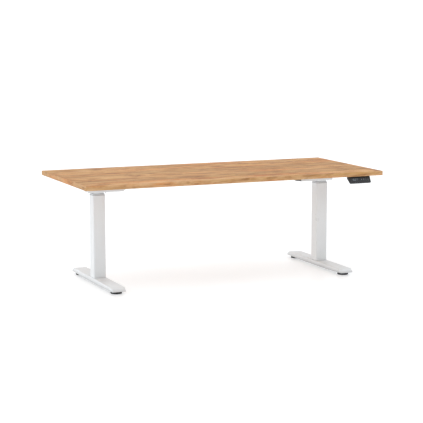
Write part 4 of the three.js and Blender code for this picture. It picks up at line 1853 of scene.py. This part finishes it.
@dataclass
class ControlBox:
    """The control box: a two-part shell with vents, sockets, a mains inlet and a lamp."""

    shop: Workshop
    split: float = 566.0

    def build(self) -> None:
        """Makes the shell, its screws, contacts and lamp."""
        low, high = self.shop.reach("control_box")
        half, z, top = high.y, low.z, high.z
        section = rounded(
            [(-half, top), (-half, z + 6), (-half + 6, z), (half - 6, z), (half, z + 6), (half, top)], 2.2, 4
        )
        shell = Shape().prism(section, low.x, high.x, 1.6, place=ALONG_X)
        tool = Shape()
        groove = [
            (half - 0.7, self.split - 0.4), (half + 2, self.split - 0.4), (half + 2, self.split + 0.4),
            (half - 0.7, self.split + 0.4),
        ]
        for sign in (-1, 1):
            line = [(sign * y, gz) for y, gz in groove]
            tool.prism(line if sign > 0 else line[::-1], low.x + 3, high.x - 3, place=ALONG_X)
        tool.block((high.x - 12, 8, 551), (high.x + 2, 33, 569), 0.2, 2.5)
        tool.block((low.x - 2, 1, 556), (low.x + 4.5, 19, 568), 0.2, 1)
        tool.block((high.x - 4.5, -21, 556), (high.x + 2, -3, 568), 0.2, 1)
        tool.block((22, -half - 2, 547), (38, -half + 4, 557), 0.2, 1)
        for x in (-46, 166):
            for y in (-30, 30):
                tool.rod(4.2, z - 1, z + 9, 24, shift(x, y))
        shell.cut(tool)
        vent = Shape().block((-1.1, -11, -1.5), (1.1, 11, 1.5), 0.3, 1)
        vents = stands(((60 + k * 6.5, y, z + 0.2) for k in range(-6, 7) for y in (-14, 14)), UP)
        shell.cut(merged(self.shop.repeat(vent, vents, BLACK)))
        for y in (14, 20.5, 27):
            shell.block((high.x - 13, y - 1, 557), (high.x - 3, y + 1, 563), 0.3)
        self.shop.deliver(
            shell, Label("control_box_shell", "top", Slot.BLACK_PLASTIC, ("control_box",)), BLACK, crease=32
        )
        wells = stands((x, y, z + 8.8) for x in (-46, 166) for y in (-30, 30))
        self.shop.fasten(wood_screw(3.6), wells, "control_box_screws", BLACK_SCREW)
        lamp = Shape().turned(
            rounded([(0, z + 1), (1.6, z + 1), (1.6, z - 0.2), (0.9, z - 0.6), (0, z - 0.7)], 0.3, 2, False),
            20, place=shift(-20, 0, 0),
        )
        self.shop.deliver(lamp, Label("ready_lamp", "top", Slot.KEY_PLASTIC), GREEN_LAMP)


@dataclass
class Leads:
    """The leads under the top, with their plugs and the clips that hold them."""

    shop: Workshop
    radius: float = 3.0

    @staticmethod
    def path(points: Sequence[Spot], steps: int = 14) -> list[Vector]:
        """Draws a smooth line through points.

        Args:
            points: The points.
            steps: Points made between each two.

        Returns:
            The line's points.
        """
        knots = [Vector(p) for p in points]
        knots = [knots[0] * 2 - knots[1], *knots, knots[-1] * 2 - knots[-2]]
        line: list[Vector] = []
        for a, b, c, d in zip(knots, knots[1:], knots[2:], knots[3:]):
            t = [0.0]
            for start, end in ((a, b), (b, c), (c, d)):
                t.append(t[-1] + math.sqrt(max((end - start).length, 1e-6)))
            for k in range(steps):
                now = t[1] + (t[2] - t[1]) * k / steps
                first = [
                    p.lerp(q, (now - t[i]) / (t[i + 1] - t[i]))
                    for i, (p, q) in enumerate(((a, b), (b, c), (c, d)))
                ]
                second = [first[i].lerp(first[i + 1], (now - t[i]) / (t[i + 2] - t[i])) for i in range(2)]
                line.append(second[0].lerp(second[1], (now - t[1]) / (t[2] - t[1])))
        return [*line, knots[-2]]

    def lead(self, name: str, points: Sequence[Spot]) -> list[Vector]:
        """Makes one lead and returns its line."""
        line = self.path(points)
        work = self.shop.sleeve(line, JACKET, self.radius, 4.0, 0.012, 7.0)
        self.shop.deliver(work, Label(f"{name}_cable", "top", Slot.LEAD_JACKET, (name,)), JACKET)
        return line

    def clip(self) -> Shape:
        """Draws a clip: a strap over the lead along X, with a foot under the board."""
        roof = 5.6
        section = [
            (-4.6, roof), (-4.6, -1.2), (-3.1, -3.9), (0, -4.9), (3.1, -3.9), (4.6, -1.2), (4.6, roof - 2),
            (14, roof - 2), (14, roof),
        ]
        return Shape().prism(rounded(section, 0.8, 3), -4, 4, 0.4, place=ALONG_X)

    def build(self) -> None:
        """Makes the three leads, their plugs and clips."""
        box_low, box_high = self.shop.reach("control_box")
        board, _ = self.shop.reach("tabletop_board")
        x0, x1 = box_low.x - 0.6, box_high.x + 0.6
        left = [
            (-528, 20, 552), (-518, 20, 552), (-486, 19, 558), (-440, 15, 572), (-300, 10, 576),
            (-120, 10, 576), (-92, 10, 567), (-74, 10, 562), (x0, 10, 562),
        ]
        right = [
            (528, -20, 552), (518, -20, 552), (486, -19, 558), (440, -15, 572), (360, -12, 576),
            (240, -12, 576), (212, -12, 567), (194, -12, 562), (x1, -12, 562),
        ]
        handset = [
            (740, -354.4, 574.5), (738, -336, 576), (690, -300, 577), (450, -270, 577), (200, -230, 577),
            (70, -150, 576), (36, -104, 566), (30, -84, 553.5), (30, -60, 551), (30, -42.5, 552),
        ]
        lines = [
            self.lead(f"{name}_lead", route)
            for name, route in (("left_motor", left), ("right_motor", right), ("handset", handset))
        ]
        plugs = Shape()
        for low, high in (
            ((x0 - 14, 2, 557), (x0 + 3.5, 18, 567)), ((x1 - 3.5, -20, 557), (x1 + 14, -4, 567)),
            ((23, -56, 548), (37, -39, 556)),
        ):
            plugs.block(low, high, 1.2, 2)
        for x, way in ((x0 - 13.5, -1), (x1 + 13.5, 1)):
            y = 10 if way < 0 else -12
            boot = self.shop.sleeve(
                [Vector((x + way * k, y, 562)) for k in range(12)], BLACK, 4.4, 0.6, 0.06, 2.6, 0.2, 18
            )
            plugs.add(boot)
        boot = self.shop.sleeve(
            [Vector((30, -55.5 - k, 551.6)) for k in range(11)], BLACK, 4.2, 0.6, 0.06, 2.6, 0.2, 18
        )
        plugs.add(boot)
        self.shop.deliver(plugs, Label("lead_plugs", "top", Slot.BLACK_PLASTIC), BLACK)
        clips, screws = [], []
        for line, places in zip(
            lines, ((-395, -310, -225, -140), (395, 325, 260), (650, 560, 470, 380, 290, 210, 110))
        ):
            for x in places:
                k = min(range(1, len(line) - 1), key=lambda i: abs(line[i].x - x))
                way = (line[k + 1] - line[k - 1]).normalized()
                way.z = 0
                way.normalize()
                clips.append(((line[k].x, line[k].y, board.z - 5.7), UP, tuple(way)))
                aside = Vector((-way.y, way.x, 0)) * 9.8
                spot = (line[k].x + aside.x, line[k].y + aside.y, board.z - 2.0)
                screws.append((spot, DOWN, tuple(way)))
        self.shop.deliver(
            self.shop.repeat(self.clip(), clips, BLACK), Label("lead_clips", "top", Slot.BLACK_PLASTIC), BLACK
        )
        self.shop.fasten(wood_screw(3.2), screws, "lead_clip_screws", ZINC)


@dataclass
class Handset:
    """The handset under the front edge: case, window, lit digits, keys and their legends."""

    shop: Workshop
    key_width: float = 9.4
    tall: float = 19.0
    short: float = 8.6
    proud: float = 1.0
    sunk: float = 2.8
    gap: float = 0.3
    face: Matrix = field(init=False)
    keys: dict[str, tuple[float, float, float]] = field(init=False)

    def __post_init__(self) -> None:
        """Sets the face's own place and reads where the keys are from the CAD."""
        up = Vector((0, 19, 581.7 - 545)).normalized()
        along = Vector((1, 0, 0))
        out = along.cross(up)
        turn = Matrix((along, up, out)).transposed().to_4x4()
        self.face = shift(0, -393.5, 563.35) @ turn
        step = self.short / 2 + 0.9
        self.keys = {}
        for name, row in zip(KEY_WORDS, (0, 0, 1, -1, 1, -1)):
            low, high = self.shop.reach(name)
            tall = self.short if row else self.tall
            self.keys[name] = ((low.x + high.x) / 2, row * step, tall)

    def pad(
        self, x: float, y: float, width: float, tall: float, low: float, high: float, ease: float,
        corner: float,
    ) -> Shape:
        """Draws a rounded pad on the face.

        Args:
            x: Its middle along the desk.
            y: Its middle up the face.
            width: Its width.
            tall: Its height up the face.
            low: Its lower side, out of the face.
            high: Its upper side.
            ease: The radius of its edges.
            corner: The radius of its corners.

        Returns:
            The pad, in place.
        """
        half = (width / 2, tall / 2)
        loops = [
            [p + Vector((x, y, 0)) for p in square_loop(half[0] - d, half[1] - d, corner - d, z, 5)]
            for z, d in eased(low, high, ease, 3)
        ]
        return Shape().stack(loops, place=self.face)

    def case(self) -> None:
        """Moulds the case with its pockets and ears."""
        low, high = self.shop.reach("handset_case")
        profile = rounded([(-384, 581.7), (-403, 545), (-392, 539), (-355, 566), (-355, 581.7)], 4.5, 5)
        case = Shape().prism(profile, low.x, high.x, 7.0, place=ALONG_X)
        tool = Shape()
        for x, y, tall in self.keys.values():
            width, height = self.key_width + 2 * self.gap, tall + 2 * self.gap
            tool.add(self.pad(x, y, width, height, -self.sunk, 6, 0.1, 1.5))
        tool.add(self.pad(WINDOW_X, 0, 52.6, 22.6, -1.5, 6, 0.1, 1.5))
        case.cut(tool)
        for x in (704, 806):
            case.block((x - 7, -357, 578.4), (x + 7, -342, 581.7), 0.5, 4)
        self.shop.deliver(
            case, Label("handset_shell", "top", Slot.BLACK_PLASTIC, ("handset_case",)), BLACK, crease=30
        )
        screws = stands((x, -348, 578.5) for x in (704, 806))
        self.shop.fasten(wood_screw(3.4), screws, "handset_screws", ZINC)

    def segments(self, text: str, middle: float) -> Shape:
        """Draws seven-segment digits behind the window.

        Args:
            text: Digits and points.
            middle: The middle of the row along the desk.

        Returns:
            All the lit segments.
        """
        lit = {"0": "abcdef", "6": "acdefg", "7": "abc"}
        tall, wide, bar, pitch = 5.2, 6.6, 1.25, 11.0
        places = {
            "a": (0, tall, 0), "g": (0, 0, 0), "d": (0, -tall, 0), "b": (wide / 2, tall / 2, 1),
            "c": (wide / 2, -tall / 2, 1), "e": (-wide / 2, -tall / 2, 1), "f": (-wide / 2, tall / 2, 1),
        }
        whole = Shape()
        digits = [c for c in text if c != "."]
        x = middle - pitch * (len(digits) - 1) / 2
        for char in text:
            if char == ".":
                whole.add(self.pad(x - pitch / 2, -tall, 1.4, 1.4, -0.1, 0.08, 0.04, 0.6))
                continue
            for key in lit[char]:
                dx, dy, upright = places[key]
                size = (bar, tall - 0.7) if upright else (wide - 1.5, bar)
                whole.add(self.pad(x + dx, dy, *size, -0.1, 0.08, 0.04, 0.55))
            x += pitch
        return whole

    def legend(self, name: str) -> Shape:
        """Draws a key's legend just above its top: an arrow, a numeral or a letter."""
        x, y, _ = self.keys[name]
        at = shift(x, y, self.proud - 0.05)
        if name in ("key_up", "key_down"):
            tip = 1 if name == "key_up" else -1
            outline = [(-2.6, -1.7 * tip), (2.6, -1.7 * tip), (0, 2.4 * tip)]
            return Shape().prism(outline if tip > 0 else outline[::-1], 0.0, 0.14, place=self.face @ at)
        curve = bpy.data.curves.new("legend", "FONT")
        curve.body, curve.size, curve.extrude = KEY_WORDS[name], 5.6, 0.07
        curve.align_x, curve.align_y, curve.resolution_u = "CENTER", "CENTER", 3
        whole = Shape()
        part = bmesh.new()
        part.from_mesh(settled(linked("legend", curve)))
        whole.absorb(part, self.face @ at @ shift(0, 0, 0.07))
        return whole

    def build(self) -> None:
        """Makes the whole handset."""
        self.case()
        window = self.pad(WINDOW_X, 0, 52, 22, -1.2, 0.0, 0.35, 1.2)
        self.shop.deliver(window, Label("handset_window", "top", Slot.WINDOW, ("display_window",)), GLASS)
        self.shop.deliver(
            self.segments("60.7", WINDOW_X), Label("handset_digits", "top", Slot.KEY_PLASTIC), DIGITS
        )
        for name, (x, y, tall) in self.keys.items():
            key = self.pad(x, y, self.key_width, tall, self.proud - 2.6, self.proud, 0.7, 1.6)
            self.shop.deliver(key, Label(f"{name}_cap", name, Slot.KEY_PLASTIC, (name,)), KEYCAP)
            self.shop.deliver(self.legend(name), Label(f"{name}_legend", name, Slot.KEY_PLASTIC), LEGEND)


# ---- The studio ----


@dataclass
class Studio:
    """A pale floor, soft lights and the camera."""

    eye: Spot = (-3.277, -7.511, 1.560)
    tilt: float = 81.732
    heading: float = -23.547
    lens: float = 121.67
    floor_colour: Colour = (0.62, 0.62, 0.62, 1.0)
    floor_cloud: Colour = (0.59, 0.59, 0.595, 1.0)
    floor_half: float = 60.0
    floor_glow: float = 0.44
    sky_colour: Colour = (0.955, 0.98, 1.0, 1.0)
    sky_front: float = 0.99
    sky_back: float = 1.12
    sky_left: float = 0.46
    sky_dip: float = -0.42
    sky_zenith: float = 0.80

    def camera(self) -> None:
        """Sets up the camera."""
        data = bpy.data.cameras.new("camera")
        data.lens, data.sensor_width, data.clip_end = self.lens, 36.0, 300.0
        camera = linked("camera", data)
        camera.location = self.eye
        camera.rotation_euler = (math.radians(self.tilt), 0.0, math.radians(self.heading))
        bpy.context.scene.camera = camera

    def floor(self) -> None:
        """Lays the floor."""
        data = bpy.data.meshes.new("floor")
        half = self.floor_half
        data.from_pydata(
            [(-half, -half, 0), (half, -half, 0), (half, half, 0), (-half, half, 0)], [], [(0, 1, 2, 3)]
        )
        material = bpy.data.materials.new("studio_floor")
        bench = Bench(material)
        at = bench.place()
        cloud = bench.noise(at, 3, 3)
        bench.close(
            {
                "Base Color": bench.blend(cloud * 0.4, self.floor_colour, self.floor_cloud),
                "Roughness": cloud * 0.1 + 0.25,
                "Specular IOR Level": 0.2,
                "Emission Color": srgb(255, 255, 255),
                "Emission Strength": self.floor_glow,
            }
        )
        data.materials.append(material)
        floor = linked("floor", data)

    def lamp(self, name: str, spot: Spot, aim: Spot, size: float, power: float) -> None:
        """Hangs one square soft light.

        Args:
            name: Its name.
            spot: Where it hangs.
            aim: What it points at.
            size: Its side.
            power: Its power in watts.
        """
        data = bpy.data.lights.new(name, "AREA")
        data.shape, data.size, data.energy = "SQUARE", size, power
        lamp = linked(name, data)
        lamp.location = spot
        lamp.rotation_euler = (Vector(aim) - Vector(spot)).to_track_quat("-Z", "Y").to_euler()

    def build(self) -> None:
        """Sets up the camera, floor, lights and sky."""
        self.camera()
        self.floor()
        scene = bpy.context.scene
        scene.view_settings.view_transform = "Standard"
        world = bpy.data.worlds.new("sky")
        scene.world = world
        world.use_nodes = True
        board = Board(world.node_tree)
        world.node_tree.nodes.clear()
        x, y, z = board.split(board.take("ShaderNodeTexCoord", output="Generated"))
        spans = (
            (y, -0.9, 0.1, self.sky_front, self.sky_back),
            (x, -0.95, -0.35, self.sky_left, 0.0),
            (z, 0.12, 0.45, 0.0, self.sky_dip),
            (z, 0.4, 0.95, 0.0, self.sky_zenith),
        )
        power = 0.0
        for value, start, stop, low, high in spans:
            sockets = {"Value": value, "From Min": start, "From Max": stop, "To Min": low, "To Max": high}
            power = board.take("ShaderNodeMapRange", {"interpolation_type": "SMOOTHSTEP"}, sockets) + power
        sky = board.take("ShaderNodeBackground", sockets={"Strength": power, "Color": self.sky_colour})
        board.node("ShaderNodeOutputWorld", sockets={"Surface": sky})
        self.lamp("key", (-1.5, -1.5, 5.0), (0.0, 0.0, 0.3), 3.0, 12.0)


def main() -> None:
    """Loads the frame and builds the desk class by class."""
    logging.basicConfig(level=logging.INFO, format="%(message)s", stream=sys.stdout)
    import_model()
    Studio().build()
    shop = Workshop()
    Tabletop(shop).build()
    for side in Side:
        Leg(shop, side).build()
    Rails(shop).build()
    ControlBox(shop).build()
    Leads(shop).build()
    Handset(shop).build()
    LOG.info("%d pieces made", shop.made)


if __name__ == "__main__":
    main()
